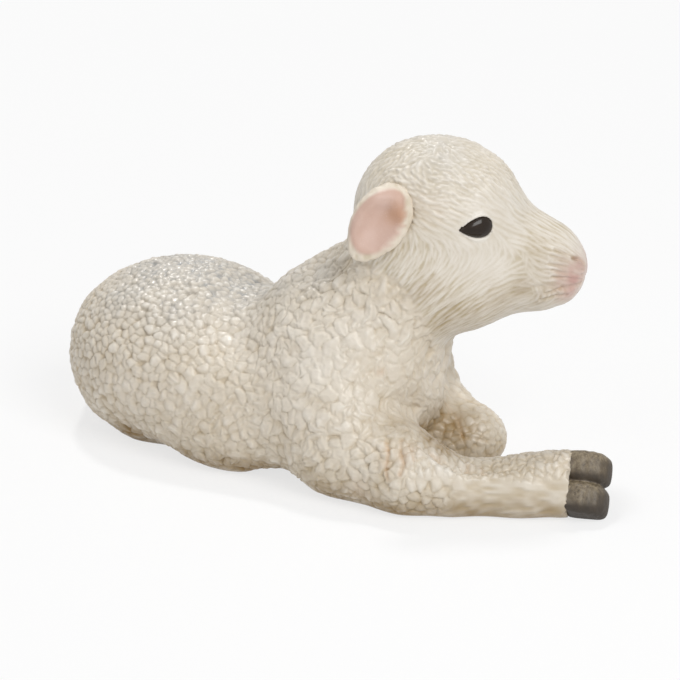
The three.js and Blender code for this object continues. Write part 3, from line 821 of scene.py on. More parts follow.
def carve_hair(skin, settings):
    """Hair combed back from the nose, in short tufts on the skull and long fine ones on cheek and jaw."""
    field = comb_field(skin)
    fine = np.zeros(skin.count)
    locks = np.zeros(skin.count)
    width = settings.hair_width / MM
    for profile, (gap, reach, share) in ((fine, FINE_TUFTS), (locks, LOCKS)):
        comb_layer(skin, field, profile, gap, reach, share * width)
    cheek = from_pixels(skin, HAIR_STRENGTH, HEAD_MIRROR, HAIR_REACH)
    crown = smooth_step(*CROWN_RELIEF, skin.points[:, 2])
    height = 0.68 * fine + 0.42 * locks - 0.6
    skin.relief += settings.hair_depth / MM * cheek * skin.hair * height * (1.0 + 0.9 * crown)
    hollow = np.clip(1.0 - 1.6 * fine, 0.0, 1.0) * 0.75 + np.clip(0.55 - locks, 0.0, 1.0) * 0.35
    skin.cavity += hollow * skin.hair * np.clip(cheek, 0.0, 1.3) * (1.0 - 0.5 * crown)


# Carved lines, nudges, eyes and the edges at the hooves


def line_distance(points, stops):
    """The distance of each point from a line through some stops."""
    nearest = np.full(len(points), 1e9)
    for start, end in zip(stops, stops[1:]):
        along = end - start
        share = np.clip((points - start) @ along / max(along @ along, 1e-9), 0.0, 1.0)
        nearest = np.minimum(nearest, np.linalg.norm(points - start - share[:, None] * along, axis=1))
    return nearest


def carve_line(skin, pixels, width, depth, lip=0.0, wash=0.0):
    """A groove along a line of the photograph, on both sides, with rounded lips and a wash of its own."""
    for side in zip(*[skin.both_sides(skin.place_at(x, y)) for x, y in pixels]):
        near = line_distance(skin.points, [np.array(place) for place in side])
        groove = np.exp(-((near / (width / 2.0)) ** 2))
        skin.relief += -depth * groove + lip * np.exp(-(((near - width) / (width * 0.6)) ** 2))
        skin.cavity += 2.2 * depth * groove
        skin.crease = np.maximum(skin.crease, wash * np.exp(-((near / (0.8 * width)) ** 2)))


def carve_lines(skin):
    """The forelegs' creases, the wrinkles of the nose, the mouth and the nostrils."""
    for stops, depth, wash in LEG_CREASES:
        carve_line(skin, stops, CREASE_WIDTH, depth, CREASE_LIP, wash)
    for wrinkle in NOSE_WRINKLES:
        carve_line(skin, wrinkle, *WRINKLE)
    carve_line(skin, MOUTH_LINE, *MOUTH)
    carve_line(skin, MOUTH_REAR, *MOUTH_END)
    carve_line(skin, NOSTRIL_LINE, *NOSTRIL)


def nudge(skin, spots, mirror=None, depth=1.0):
    """Moves the skin a little in the plane of the photograph, round some of its pixels.

    The reach is multiplied by the depth along the line of sight.
    """
    right, up, back = view_axes()
    total = np.zeros((skin.count, 3))
    weights = np.zeros(skin.count)
    for x, y, sideways, rise, reach in spots:
        place = skin.place_at(x, y)
        move = right * sideways + up * rise
        pairs = [(place, move)]
        if mirror:
            pairs.append((mirrored(place, mirror, True), mirrored(move, mirror, False)))
        for spot, way in pairs:
            offset = skin.points - np.array(spot)
            behind = offset @ np.array(back)
            apart = (offset**2).sum(1) - behind**2 * (1.0 - 1.0 / depth**2)
            weight = np.exp(-apart / (reach * reach))
            total += weight[:, None] * np.array(way)
            weights += weight
    skin.drag += total / np.maximum(weights, 1.0)[:, None]


def muzzle_middle(skin, x, y):
    """The skin's point on the middle of the muzzle, level with a pixel of the photograph."""
    place = skin.place_at(x, y)
    middle = (place + mirrored(place, HEAD_MIRROR, True)) / 2.0 + HEAD_FORWARD * MUZZLE_AHEAD
    return skin.points[skin.tree.find(middle)[1]]


def carve_philtrum(skin):
    """The groove from between the nostrils down to the mouth, and the lips' line under it."""
    near = line_distance(skin.points, [muzzle_middle(skin, x, y) for x, y in NOSE_CLEFT])
    groove = np.exp(-((near / PHILTRUM_WIDTH) ** 2))
    skin.relief -= PHILTRUM_DEPTH * groove
    skin.cavity += 0.4 * groove
    lips = [skin.place_at(*MOUTH_LINE[0]), Vector(muzzle_middle(skin, *NOSE_CLEFT[-1]))]
    lips.append(mirrored(lips[0], HEAD_MIRROR, True))
    near = line_distance(skin.points, [np.array(place) for place in lips])
    skin.relief -= LIPS_DEPTH * np.exp(-((near / LIPS_WIDTH) ** 2))
    skin.cavity += 0.35 * np.exp(-((near / PHILTRUM_WIDTH) ** 2))


def node_corners(node):
    """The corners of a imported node, in millimetres."""
    return np.array([vertex.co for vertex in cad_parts[node].data.vertices]) / MM


def eye_frame(skin, node):
    """The eye's middle on the skin and its forward, upward and outward directions."""
    corners = node_corners(node)
    middle = (corners.max(0) + corners.min(0)) / 2.0
    n = skin.tree.find(middle)[1]
    forward = np.linalg.svd(corners - corners.mean(0), full_matrices=False)[2][0]
    forward *= math.copysign(1.0, forward @ np.array(HEAD_FORWARD))
    outward = unit_rows(skin.normals[skin.numbers_near(n, EYE_FACING_REACH)].mean(0)[None])[0]
    forward = unit_rows((forward - outward * (forward @ outward))[None])[0]
    up = np.cross(outward, forward)
    up *= math.copysign(1.0, up[2])
    return skin.points[n], forward, up, outward


def eye_outline(along, up):
    """Below 1 inside the eye's outline, which is pointed at the rear and round in front."""
    share = np.clip(along / EYE_REACH, -1.0, 1.0)
    half = EYE_PEAK * np.sqrt(np.clip(1.0 - share**2, 0.0, 1.0)) * np.sqrt((1.0 + share) / 2.0)
    return np.maximum(np.abs(up) / np.maximum(half, 1e-3), np.abs(along) / EYE_REACH)


def carve_eyes(skin):
    """A socket for each eye, with a thin rolled lid round it."""
    for node in ("right_eye", "left_eye"):
        middle, forward, up, _ = eye_frame(skin, node)
        offset = skin.points - middle
        near = np.flatnonzero(np.linalg.norm(offset, axis=1) < SOCKET_REACH)
        level = eye_outline(offset[near] @ forward, offset[near] @ up)
        inside = 1.0 - smooth_step(0.86, 1.06, level)
        lid = np.exp(-(((level - 1.22) / 0.2) ** 2))
        calm = 1.0 - smooth_step(1.0, 1.9, level)
        skin.relief[near] = skin.relief[near] * (1.0 - calm) + LID_HEIGHT * lid - SOCKET_DEPTH * inside
        skin.cavity[near] = skin.cavity[near] * (1.0 - calm) * (1.0 - 0.6 * lid) + 0.5 * inside


def wash_map(skin, kind):
    """How strong one kind, among washes, painted light and painted shade, is at every point."""
    amount = np.zeros(skin.count)
    for name, x, y, reach, strength in WASHES:
        if name != kind:
            continue
        spots = skin.both_sides(skin.place_at(x, y))
        if kind == "pink":
            spots.append(Vector(muzzle_middle(skin, x, y)))
        for spot in spots:
            near = ((skin.points - np.array(spot)) ** 2).sum(1)
            amount = np.maximum(amount, strength * np.exp(-near / (reach * reach)))
    return amount * np.clip(1.0 + 0.35 * soft_noise(skin.points, 0.8, 61), 0.0, 1.4)


def hoof_frame(name):
    """The middle of a hoof's rear edge, and the level direction from there to its toes."""
    hoof = node_corners(name + "_hoof")
    leg = node_corners(name + "_leg")
    apart = surface_distance(surface_tree((name + "_leg",)), hoof)
    toes = hoof[apart > TOES_BEYOND].mean(0)
    peg = hoof[apart < PEG_WITHIN].mean(0)
    heading = unit_rows(((toes - peg) * np.array([1.0, 1.0, 0.0]))[None])[0]
    end = (leg[np.linalg.norm(leg - peg, axis=1) < LEG_END_REACH] @ heading).max()
    return toes + heading * (end - toes @ heading), heading


def carve_hoof_edges(skin):
    """The wool's ragged edge is drawn a little way over each hoof."""
    for name in HOOVED:
        edge, heading = hoof_frame(name)
        near = np.flatnonzero(np.linalg.norm(skin.points - edge, axis=1) < HOOF_EDGE_REACH)
        front = (skin.points[near] - edge) @ heading
        band = smooth_step(-1.0, -0.25, front) * (1.0 - smooth_step(0.3, 0.8, front))
        outer = 1.0 - np.abs(skin.normals[near] @ heading)
        reach = 0.28 + 0.75 * soft_noise(skin.points[near], 0.5, 71)
        skin.drag[near] += heading * (band * outer * reach)[:, None]


# The carved skin as a whole


def keep_paint(skin):
    """Keeps hollows, hair, height, washes, painted light and painted shade at the skin's corners, for its
    material to read.
    """
    set_attribute(skin.mesh, "cavity", skin.cavity)
    set_attribute(skin.mesh, "hair", skin.hair)
    set_attribute(skin.mesh, "height", (skin.relief + 0.3) / 0.6)
    rubbed = skin.crease * np.clip(0.7 + 0.6 * soft_noise(skin.points, 0.9, 67), 0.0, 1.0)
    for kind in ("cool", "pale", "blush", "olive", "pink"):
        amount = wash_map(skin, kind)
        if kind == "blush":
            amount = np.maximum(amount, rubbed)
        set_attribute(skin.mesh, kind, amount)


@functools.lru_cache(maxsize=1)
def carved_skin():
    """The whole lamb's skin, carved and painted, before it is parted into mouldings."""
    scene = bpy.context.scene
    fleece = scene.lamb_fleece
    bm = merged_copy(SKINNED + ("right_eye", "left_eye"))
    shrink = SKIN_SWELL - fleece.skin_growth
    skin = Skin(remeshed(bm, "lamb_skin", SKIN_SWELL, fleece.skin_pitch, 25, shrink))
    carve_shank(skin, fleece)
    carve_wool(skin, fleece)
    carve_hair(skin, scene.lamb_face)
    carve_lines(skin)
    carve_philtrum(skin)
    carve_eyes(skin)
    carve_hoof_edges(skin)
    nudge(skin, MUZZLE_NUDGES, HEAD_MIRROR, MUZZLE_NUDGE_DEPTH)
    nudge(skin, HEAD_NUDGES, HEAD_MIRROR)
    nudge(skin, TORSO_NUDGES, TORSO_MIRROR)
    nudge(skin, ELBOW_NUDGES, None, ELBOW_NUDGE_DEPTH)
    points = skin.points + skin.normals * skin.relief[:, None] + skin.drag
    points[:, 2] = np.maximum(points[:, 2], 0.0)
    set_points(skin.mesh, points)
    keep_paint(skin)
    return skin


# Pieces of the skin


def smoothed_choice(mesh, scores, rounds):
    """The node with the highest score at each point, after the scores have spread along the edges."""
    ends = np.empty(len(mesh.edges) * 2, np.int32)
    mesh.edges.foreach_get("vertices", ends)
    a, b = ends.reshape(-1, 2).T
    degree = np.bincount(a, minlength=len(scores)) + np.bincount(b, minlength=len(scores))
    for _ in range(rounds):
        for column in range(scores.shape[1]):
            values = scores[:, column]
            spread = np.bincount(a, values[b], len(values)) + np.bincount(b, values[a], len(values))
            scores[:, column] = 0.5 * values + 0.5 * spread / np.maximum(degree, 1)
    return scores.argmax(1)


@functools.lru_cache(maxsize=1)
def mouldings_of_skin():
    """The number of the piece that each face of the skin belongs to, and the pieces' names."""
    skin = carved_skin()
    names = [*SKINNED]
    owners = np.repeat(np.arange(len(names)), [len(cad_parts[name].data.polygons) for name in names])
    nearest = owners[[skin.solids.find_nearest(point)[2] for point in skin.points]]
    choice = smoothed_choice(skin.mesh, np.eye(len(names))[nearest], SEAM_ROUNDS)
    names.append("torso_rump")
    rear = skin.points[:, 0] < WAIST_X + WAIST_SLOPE * skin.points[:, 2]
    choice[(choice == names.index("torso")) & rear] = names.index("torso_rump")
    starts = np.empty(len(skin.mesh.polygons), np.int32)
    skin.mesh.polygons.foreach_get("loop_start", starts)
    corners = np.empty(len(skin.mesh.loops), np.int32)
    skin.mesh.loops.foreach_get("vertex_index", corners)
    return without_specks(skin.mesh, choice[corners[starts]]), names


def patch_from(bm, owners, start, seen):
    """The faces of one moulding that hang together with a face, and the owners met along their border."""
    seen[start] = True
    patch, stack, border = [start], [start], []
    while stack:
        for edge in bm.faces[stack.pop()].edges:
            for face in edge.link_faces:
                n = face.index
                if owners[n] != owners[start]:
                    border.append(owners[n])
                elif not seen[n]:
                    seen[n] = True
                    patch.append(n)
                    stack.append(n)
    return patch, border


def without_specks(mesh, owners):
    """Faces of a small patch inside another moulding's area are given to that moulding."""
    bm = bmesh.new()
    bm.from_mesh(mesh)
    bm.faces.ensure_lookup_table()
    seen = np.zeros(len(bm.faces), bool)
    patches = [patch_from(bm, owners, start, seen) for start in range(len(bm.faces)) if not seen[start]]
    bm.free()
    for patch, border in patches:
        if len(patch) < LEAST_PATCH and border:
            owners[patch] = np.bincount(border).argmax()
    return owners


def cut_out(mesh, owners, number):
    """One owner's faces of the skin, closed inside with flat caps; its corners keep the skin's numbers."""
    bm = bmesh.new()
    bm.from_mesh(mesh)
    origin = bm.verts.layers.int.new("origin")
    for n, vertex in enumerate(bm.verts):
        vertex[origin] = n + 1
    others = [face for face, owner in zip(bm.faces, owners) if owner != number]
    bmesh.ops.delete(bm, geom=others, context="FACES")
    for face in bm.faces:
        face.smooth = True
    rim = [edge for edge in bm.edges if edge.is_boundary]
    for edge in rim:
        edge.smooth = False
    caps = bmesh.ops.holes_fill(bm, edges=rim, sides=0)["faces"]
    for cap in bmesh.ops.poke(bm, faces=caps)["faces"]:
        cap.smooth = False
    bmesh.ops.recalc_face_normals(bm, faces=bm.faces)
    bmesh.ops.triangulate(bm, faces=[face for face in bm.faces if len(face.verts) > 4])
    return bm


def use_skin_normals(mesh):
    """Gives a cut-out the whole skin's normals at its edges, and its caps their own."""
    origins = np.empty(len(mesh.vertices), np.int32)
    mesh.attributes["origin"].data.foreach_get("value", origins)
    normals = skin_normals()
    custom = []
    for polygon in mesh.polygons:
        for vertex in polygon.vertices:
            n = origins[vertex]
            custom.append(normals[n - 1] if polygon.use_smooth and n else polygon.normal)
    mesh.normals_split_custom_set(custom)
    mesh.attributes.remove(mesh.attributes["origin"])


def piece_of_skin(name, number):
    """One moulding's part of the skin, closed inside, that meets its neighbours without a step."""
    owners, _ = mouldings_of_skin()
    bm = cut_out(carved_skin().mesh, owners, number)
    if not all(edge.is_manifold for edge in bm.edges):
        raise RuntimeError("the skin of " + name + " has open edges")
    mesh = bpy.data.meshes.new(name)
    bm.to_mesh(mesh)
    bm.free()
    use_skin_normals(mesh)
    return placed_piece(name, mesh)


@functools.lru_cache(maxsize=1)
def skin_normals():
    """The whole skin's normals, one for each of its corners."""
    return [tuple(normal) for normal in mesh_normals(carved_skin().mesh)]


def placed_piece(name, mesh):
    """A finished object that rides with the figure, its place in its mesh."""
    mesh.name = name
    piece = bpy.data.objects.new(name, mesh)
    bpy.context.scene.collection.objects.link(piece)
    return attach(piece, "root")


def dress(piece, material, slot, *nodes):
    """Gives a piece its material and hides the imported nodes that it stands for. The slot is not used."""
    piece.data.materials.clear()
    piece.data.materials.append(material)
    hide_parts(*nodes)


# Paint


class Wiring:
    """Adds and joins the nodes of one material or node group."""

    def __init__(self, tree):
        """Takes the node tree that it works on."""
        self.tree = tree
        self.column = 0

    def add(self, kind, inputs=None, **options):
        """A new node with its inputs fed and its options set."""
        node = self.tree.nodes.new(kind)
        node.location = (self.column * 200.0, 0.0)
        self.column += 1
        for name, value in options.items():
            setattr(node, name, value)
        for name, value in (inputs or {}).items():
            self.feed(node.inputs[name], value)
        return node

    def feed(self, socket, value):
        """Joins a socket to another one, or sets it to a number or a colour."""
        if isinstance(value, bpy.types.NodeSocket):
            self.tree.links.new(value, socket)
        elif socket.type == "RGBA":
            socket.default_value = (*value[:3], 1.0)
        else:
            socket.default_value = value

    def mix(self, amount, first, second):
        """The first colour where the amount is 0, and the second where it is 1."""
        node = self.add("ShaderNodeMix", data_type="RGBA", clamp_factor=True)
        self.feed(node.inputs[0], amount)
        self.feed(node.inputs[6], first)
        self.feed(node.inputs[7], second)
        return node.outputs[2]

    def tint(self, colour, mask, share, wash):
        """A colour with a wash over it, by a mask times a share."""
        return self.mix(self.maths("MULTIPLY", mask, share), colour, wash)

    def maths(self, operation, first, second=0.0, clamp=False):
        """One sum, product or the like of two numbers."""
        node = self.add("ShaderNodeMath", operation=operation, use_clamp=clamp)
        self.feed(node.inputs[0], first)
        self.feed(node.inputs[1], second)
        return node.outputs[0]

    def noise(self, place, size, detail=3.0, rough=0.55):
        """Noise whose lumps have a size in metres."""
        node = self.add("ShaderNodeTexNoise", {"Vector": place, "Scale": 1.0 / size, "Detail": detail})
        node.inputs["Roughness"].default_value = rough
        return node.outputs["Fac"]

    def spread(self, value, low, high, to_low=0.0, to_high=1.0):
        """A number's range from low to high, stretched to another range and held there."""
        node = self.add("ShaderNodeMapRange", clamp=True)
        for number, item in enumerate((value, low, high, to_low, to_high)):
            self.feed(node.inputs[number], item)
        return node.outputs[0]

    def attribute(self, name):
        """A value that the mesh keeps at its corners."""
        return self.add("ShaderNodeAttribute", attribute_name=name).outputs["Fac"]

    def place(self):
        """The place of what is painted, in metres."""
        return self.add("ShaderNodeTexCoord").outputs["Object"]


def new_group(name, inputs, outputs):
    """An empty node group with named sockets, its wiring, and its input and output nodes."""
    group = bpy.data.node_groups.new(name, "ShaderNodeTree")
    for label, kind, default in inputs:
        socket = group.interface.new_socket(name=label, in_out="INPUT", socket_type=kind)
        if default is not None:
            socket.default_value = default
    for label, kind in outputs:
        group.interface.new_socket(name=label, in_out="OUTPUT", socket_type=kind)
    wiring = Wiring(group)
    return group, wiring, wiring.add("NodeGroupInput"), wiring.add("NodeGroupOutput")


COLOUR, NUMBER = "NodeSocketColor", "NodeSocketFloat"
SPECK_PAINT = (1.0, 0.97, 0.92)


@functools.lru_cache(maxsize=1)
def wash_group():
    """A thin dark wash that settles in hollows over a main paint, with uneven coats and brush grain."""
    inputs = [
        ("Paint", COLOUR, None), ("Wash", COLOUR, None), ("Hollow", NUMBER, 0.0), ("Strength", NUMBER, 0.8),
        ("Lump", NUMBER, 0.004), ("Grain", NUMBER, 0.0003),
    ]
    outputs = [("Color", COLOUR), ("Roughness", NUMBER), ("Height", NUMBER)]
    group, w, source, sink = new_group("Hollow wash", inputs, outputs)
    given, result = source.outputs, sink.inputs
    place = w.place()
    broad = w.noise(place, size=1.0, detail=3.0)
    fine = w.noise(place, size=1.0, detail=2.0)
    w.feed(broad.node.inputs["Scale"], w.maths("DIVIDE", 1.0, given["Lump"]))
    w.feed(fine.node.inputs["Scale"], w.maths("DIVIDE", 1.0, given["Grain"]))
    uneven = w.spread(broad, 0.3, 0.7, 0.72, 1.2)
    settled = w.maths("MULTIPLY", given["Hollow"], given["Strength"])
    settled = w.maths("MULTIPLY", settled, uneven, clamp=True)
    coat = w.mix(w.spread(broad, 0.35, 0.75, 0.0, 0.2), given["Paint"], given["Wash"])
    speck = w.mix(w.spread(fine, 0.62, 0.8, 0.0, 0.18), coat, SPECK_PAINT)
    w.feed(result["Color"], w.mix(settled, speck, given["Wash"]))
    gloss = w.spread(fine, 0.3, 0.7, 0.4, 0.56)
    w.feed(result["Roughness"], w.maths("ADD", gloss, w.maths("MULTIPLY", given["Hollow"], 0.2)))
    w.feed(result["Height"], w.maths("ADD", fine, w.maths("MULTIPLY", broad, 0.5)))
    return group


def painted_material(name):
    """A new material, the wiring of its nodes and its Principled shader."""
    material = bpy.data.materials.new(name)
    material.use_nodes = True
    return material, Wiring(material.node_tree), material.node_tree.nodes["Principled BSDF"]


def varnish(shader, weight, roughness):
    """Lays a clear coat over a shader's paint."""
    shader.inputs["Coat Weight"].default_value = weight
    shader.inputs["Coat Roughness"].default_value = roughness


def use_wash(w, main, wash, hollow, strength, lump, grain):
    """Places the hollow wash in a material; its uneven lumps and its grain have sizes in metres."""
    node = w.add("ShaderNodeGroup", node_tree=wash_group())
    names = ("Paint", "Wash", "Hollow", "Strength", "Lump", "Grain")
    for name, value in zip(names, (main, wash, hollow, strength, lump, grain)):
        w.feed(node.inputs[name], value)
    return node.outputs


def finish_paint(w, shader, colour, roughness, height, depth):
    """Feeds the shader, with the paint's fine relief as a bump of a depth in metres."""
    bump = w.add("ShaderNodeBump", {"Height": height, "Strength": 0.5, "Distance": depth})
    w.feed(shader.inputs["Base Color"], colour)
    w.feed(shader.inputs["Roughness"], roughness)
    w.feed(shader.inputs["Normal"], bump.outputs["Normal"])


def floor_shade_mask(w, low, high):
    """Painted shade towards the floor: 1 near the ground, fading out with height in metres."""
    place = w.place()
    height = w.add("ShaderNodeSeparateXYZ", {"Vector": place}).outputs["Z"]
    wander = w.spread(w.noise(place, size=3.0 * MM, detail=2.0), 0.3, 0.7, -1.2 * MM, 1.2 * MM)
    return w.spread(w.maths("ADD", height, wander), low, high, 1.0, 0.0)


def dry_brush_and_glint(w, share):
    """Light dry-brushed paint on the raised parts, partly painted highlight: twice as strong on the back,
    where it paints glints, and none on the nose.
    """
    brush = w.spread(w.attribute("cool"), 0.0, 1.0, share, 2.0 * share)
    raised = w.maths("MULTIPLY", w.spread(w.attribute("height"), 0.5, 0.72), brush)
    return w.maths("MULTIPLY", raised, w.spread(w.attribute("pink"), 0.1, 0.4, 1.0, 0.0))


@functools.lru_cache(maxsize=1)
def skin_material():
    """Vinyl painted cream, with washes in the curls and hair and on the nose, painted cool shade on the back,
    painted shade in recesses and towards the floor, and painted light on lit patches.
    """
    scene = bpy.context.scene
    fleece, face = scene.lamb_fleece, scene.lamb_face
    material, w, shader = painted_material("painted_skin")
    hair = w.attribute("hair")
    main = w.mix(hair, fleece.paint_main, face.paint_main)
    groove = w.mix(hair, fleece.paint_groove, face.paint_groove)
    # Painted cool shade in the grooves of the back and rump
    groove = w.mix(w.attribute("cool"), groove, fleece.paint_back_shade)
    hollow = w.attribute("cavity")
    coat = use_wash(w, main, groove, hollow, strength=0.78, lump=3.5 * MM, grain=0.14 * MM)
    # Painted light on lit patches
    colour = w.tint(coat["Color"], w.attribute("pale"), 0.7, face.paint_dry_brush_and_highlight)
    # Painted cool shade over the back and rump
    colour = w.tint(colour, w.attribute("cool"), 0.32, fleece.paint_back_shade)
    # Painted shade towards the floor, deeper in the hollows
    low = w.maths("MULTIPLY", floor_shade_mask(w, 0.0, 8.0 * MM), w.spread(hollow, 0.0, 0.8, 0.5, 1.0))
    colour = w.tint(colour, low, 0.65, fleece.paint_low_shade)
    # Darker painted shade along the floor's edge
    colour = w.tint(colour, floor_shade_mask(w, -0.2 * MM, 3.2 * MM), 0.85, fleece.paint_olive_shade)
    depth = w.spread(hollow, 0.0, 0.8, 0.7, 1.0)
    # Painted shade in the recesses, deeper in the hollows; then the orange-pink paint of the creases
    for kind, wash, share in (("olive", fleece.paint_olive_shade, 1.0), ("blush", fleece.paint_blush, 0.65)):
        colour = w.tint(colour, w.maths("MULTIPLY", w.attribute(kind), depth), share, wash)
    colour = w.tint(colour, w.attribute("pink"), 0.9, face.paint_nose)
    # Dry brush and painted glints on the raised parts
    colour = w.mix(dry_brush_and_glint(w, fleece.dry_brush_and_glint), colour, face.paint_dry_brush_and_highlight)
    gloss = w.maths("SUBTRACT", coat["Roughness"], w.maths("MULTIPLY", w.attribute("cool"), 0.2))
    finish_paint(w, shader, colour, gloss, coat["Height"], depth=0.02 * MM)
    varnish(shader, weight=0.3, roughness=0.2)
    return material


@functools.lru_cache(maxsize=1)
def eye_material():
    """Dark brown eye paint under clear varnish."""
    face = bpy.context.scene.lamb_face
    material, w, shader = painted_material("varnished_eye")
    place = w.place()
    swirl = w.noise(place, size=0.9 * MM, detail=3.0)
    colour = w.mix(w.spread(swirl, 0.4, 0.75, 0.0, 0.5), face.paint_eye, paint(48, 34, 20))
    height = w.noise(place, size=0.35 * MM, detail=2.0)
    finish_paint(w, shader, colour, w.spread(swirl, 0.3, 0.7, 0.1, 0.2), height, depth=0.004 * MM)
    varnish(shader, weight=0.12, roughness=0.08)
    shader.inputs["Specular IOR Level"].default_value = 0.22
    return material


@functools.lru_cache(maxsize=1)
def ear_material():
    """Cream back and rim, pink inside, with a brown-orange wash at the root."""
    ears = bpy.context.scene.lamb_ears
    material, w, shader = painted_material("painted_ear")
    main = w.mix(w.attribute("inside"), ears.paint_back, ears.paint_inside)
    main = w.tint(main, w.attribute("root"), 0.75, ears.paint_shade)
    wash = w.mix(w.attribute("inside"), bpy.context.scene.lamb_face.paint_groove, ears.paint_shade)
    coat = use_wash(w, main, wash, w.attribute("cavity"), strength=0.7, lump=2.5 * MM, grain=0.16 * MM)
    finish_paint(w, shader, coat["Color"], coat["Roughness"], coat["Height"], depth=0.02 * MM)
    return material


@functools.lru_cache(maxsize=1)
def hoof_material():
    """Grey-brown paint with light dry-brushed streaks and dark streaks, painted light on the tops, and
    painted shade in the cleft, on the sides and towards the floor.
    """
    hooves = bpy.context.scene.lamb_hooves
    dark, light = hooves.paint_streak_and_shade, hooves.paint_dry_brush_and_highlight
    material, w, shader = painted_material("painted_hoof")
    stretched = w.add("ShaderNodeMapping", {"Vector": w.place()}).outputs["Vector"]
    stretched.node.inputs["Scale"].default_value = (1.0, 1.0, 0.4)
    streak = w.noise(stretched, size=0.32 * MM, detail=4.0, rough=0.7)
    main = w.mix(w.spread(streak, 0.55, 0.75, 0.0, 0.4), hooves.paint_main, light)
    worn = w.spread(streak, 0.35, 0.65, 0.0, 0.7)
    # Painted light on the upward faces, broken by dry-brushed streaks
    main = w.tint(main, w.attribute("edge"), worn, light)
    # Painted shade in the cleft, on the sides and at the floor
    coat = use_wash(w, main, dark, w.attribute("cavity"), strength=0.95, lump=1.2 * MM, grain=0.12 * MM)
    colour = w.mix(w.spread(streak, 0.3, 0.46, 0.55, 0.0), coat["Color"], dark)
    # Painted shade towards the floor
    colour = w.tint(colour, floor_shade_mask(w, 1.4 * MM, 4.8 * MM), 0.75, dark)
    relief = w.maths("ADD", coat["Height"], streak)
    finish_paint(w, shader, colour, coat["Roughness"], relief, depth=0.03 * MM)
    return material


# Operators, each after what it needs


class LAMB_OT_fleece(bpy.types.Operator):
    """Draws the curly skin over the torso, the legs and the tail"""

    bl_idname = "lamb.fleece"
    bl_label = "Fleece"

    def execute(self, context):
        """Makes a piece of skin for each moulding but the head, and two for the torso."""
        _, names = mouldings_of_skin()
        for number, name in enumerate(names):
            if name == "head":
                continue
            node = "torso" if name == "torso_rump" else name
            piece = piece_of_skin("fleece_" + name, number)
            dress(piece, skin_material(), "fleece", node)
        return {"FINISHED"}


class LAMB_OT_face(bpy.types.Operator):
    """Draws the combed skin over the head, with the nose, the mouth and the eyes' sockets"""

    bl_idname = "lamb.face"
    bl_label = "Face"

    def execute(self, context):
        """Makes the head's piece of skin."""
        _, names = mouldings_of_skin()
        piece = piece_of_skin("face_skin", names.index("head"))
        dress(piece, skin_material(), "face", "head")
        return {"FINISHED"}


def eye_bead(name, eye, bulge):
    """A mesh that fills an eye's socket and stands out of it by the bulge, in millimetres."""
    middle, forward, up, outward = eye
    bm = bmesh.new()
    bmesh.ops.create_uvsphere(bm, u_segments=48, v_segments=32, radius=1.0)
    for vertex in bm.verts:
        depth, rise, along = vertex.co
        rise = rise * (EYE_PEAK * math.sqrt(max((1.0 + along) / 2.0, 0.02))) * BEAD_HEIGHT
        spot = forward * (along * EYE_REACH * BEAD_LENGTH) + up * rise
        spot = spot + outward * (depth * BEAD_DEPTH + bulge - BEAD_DEPTH)
        vertex.co = Vector((middle + spot) * MM)
    for face in bm.faces:
        face.smooth = True
    bm.normal_update()
    bmesh.ops.recalc_face_normals(bm, faces=bm.faces)
    mesh = bpy.data.meshes.new(name)
    bm.to_mesh(mesh)
    bm.free()
    return mesh


class LAMB_OT_eyes(bpy.types.Operator):
    """Sets a varnished eye, pointed at the rear, in each socket"""

    bl_idname = "lamb.eyes"
    bl_label = "Eyes"

    def execute(self, context):
        """Makes a bead for each eye."""
        bulge = context.scene.lamb_face.eye_bulge / MM
        for node in ("right_eye", "left_eye"):
            mesh = eye_bead(node + "_bead", eye_frame(carved_skin(), node), bulge)
            dress(placed_piece(node + "_bead", mesh), eye_material(), "eye", node)
        return {"FINISHED"}


def leaf_frame(points, head_middle):
    """The ear's middle, its direction from tip to root, its width's and its outward direction."""
    middle = points.mean(0)
    along, across, outward = np.linalg.svd(points - middle, full_matrices=False)[2]
    outward = outward * math.copysign(1.0, (middle - head_middle) @ outward)
    along = along * math.copysign(1.0, (head_middle - middle) @ along)
    across = across * math.copysign(1.0, across @ np.array(HEAD_FORWARD))
    return middle, along, across, outward


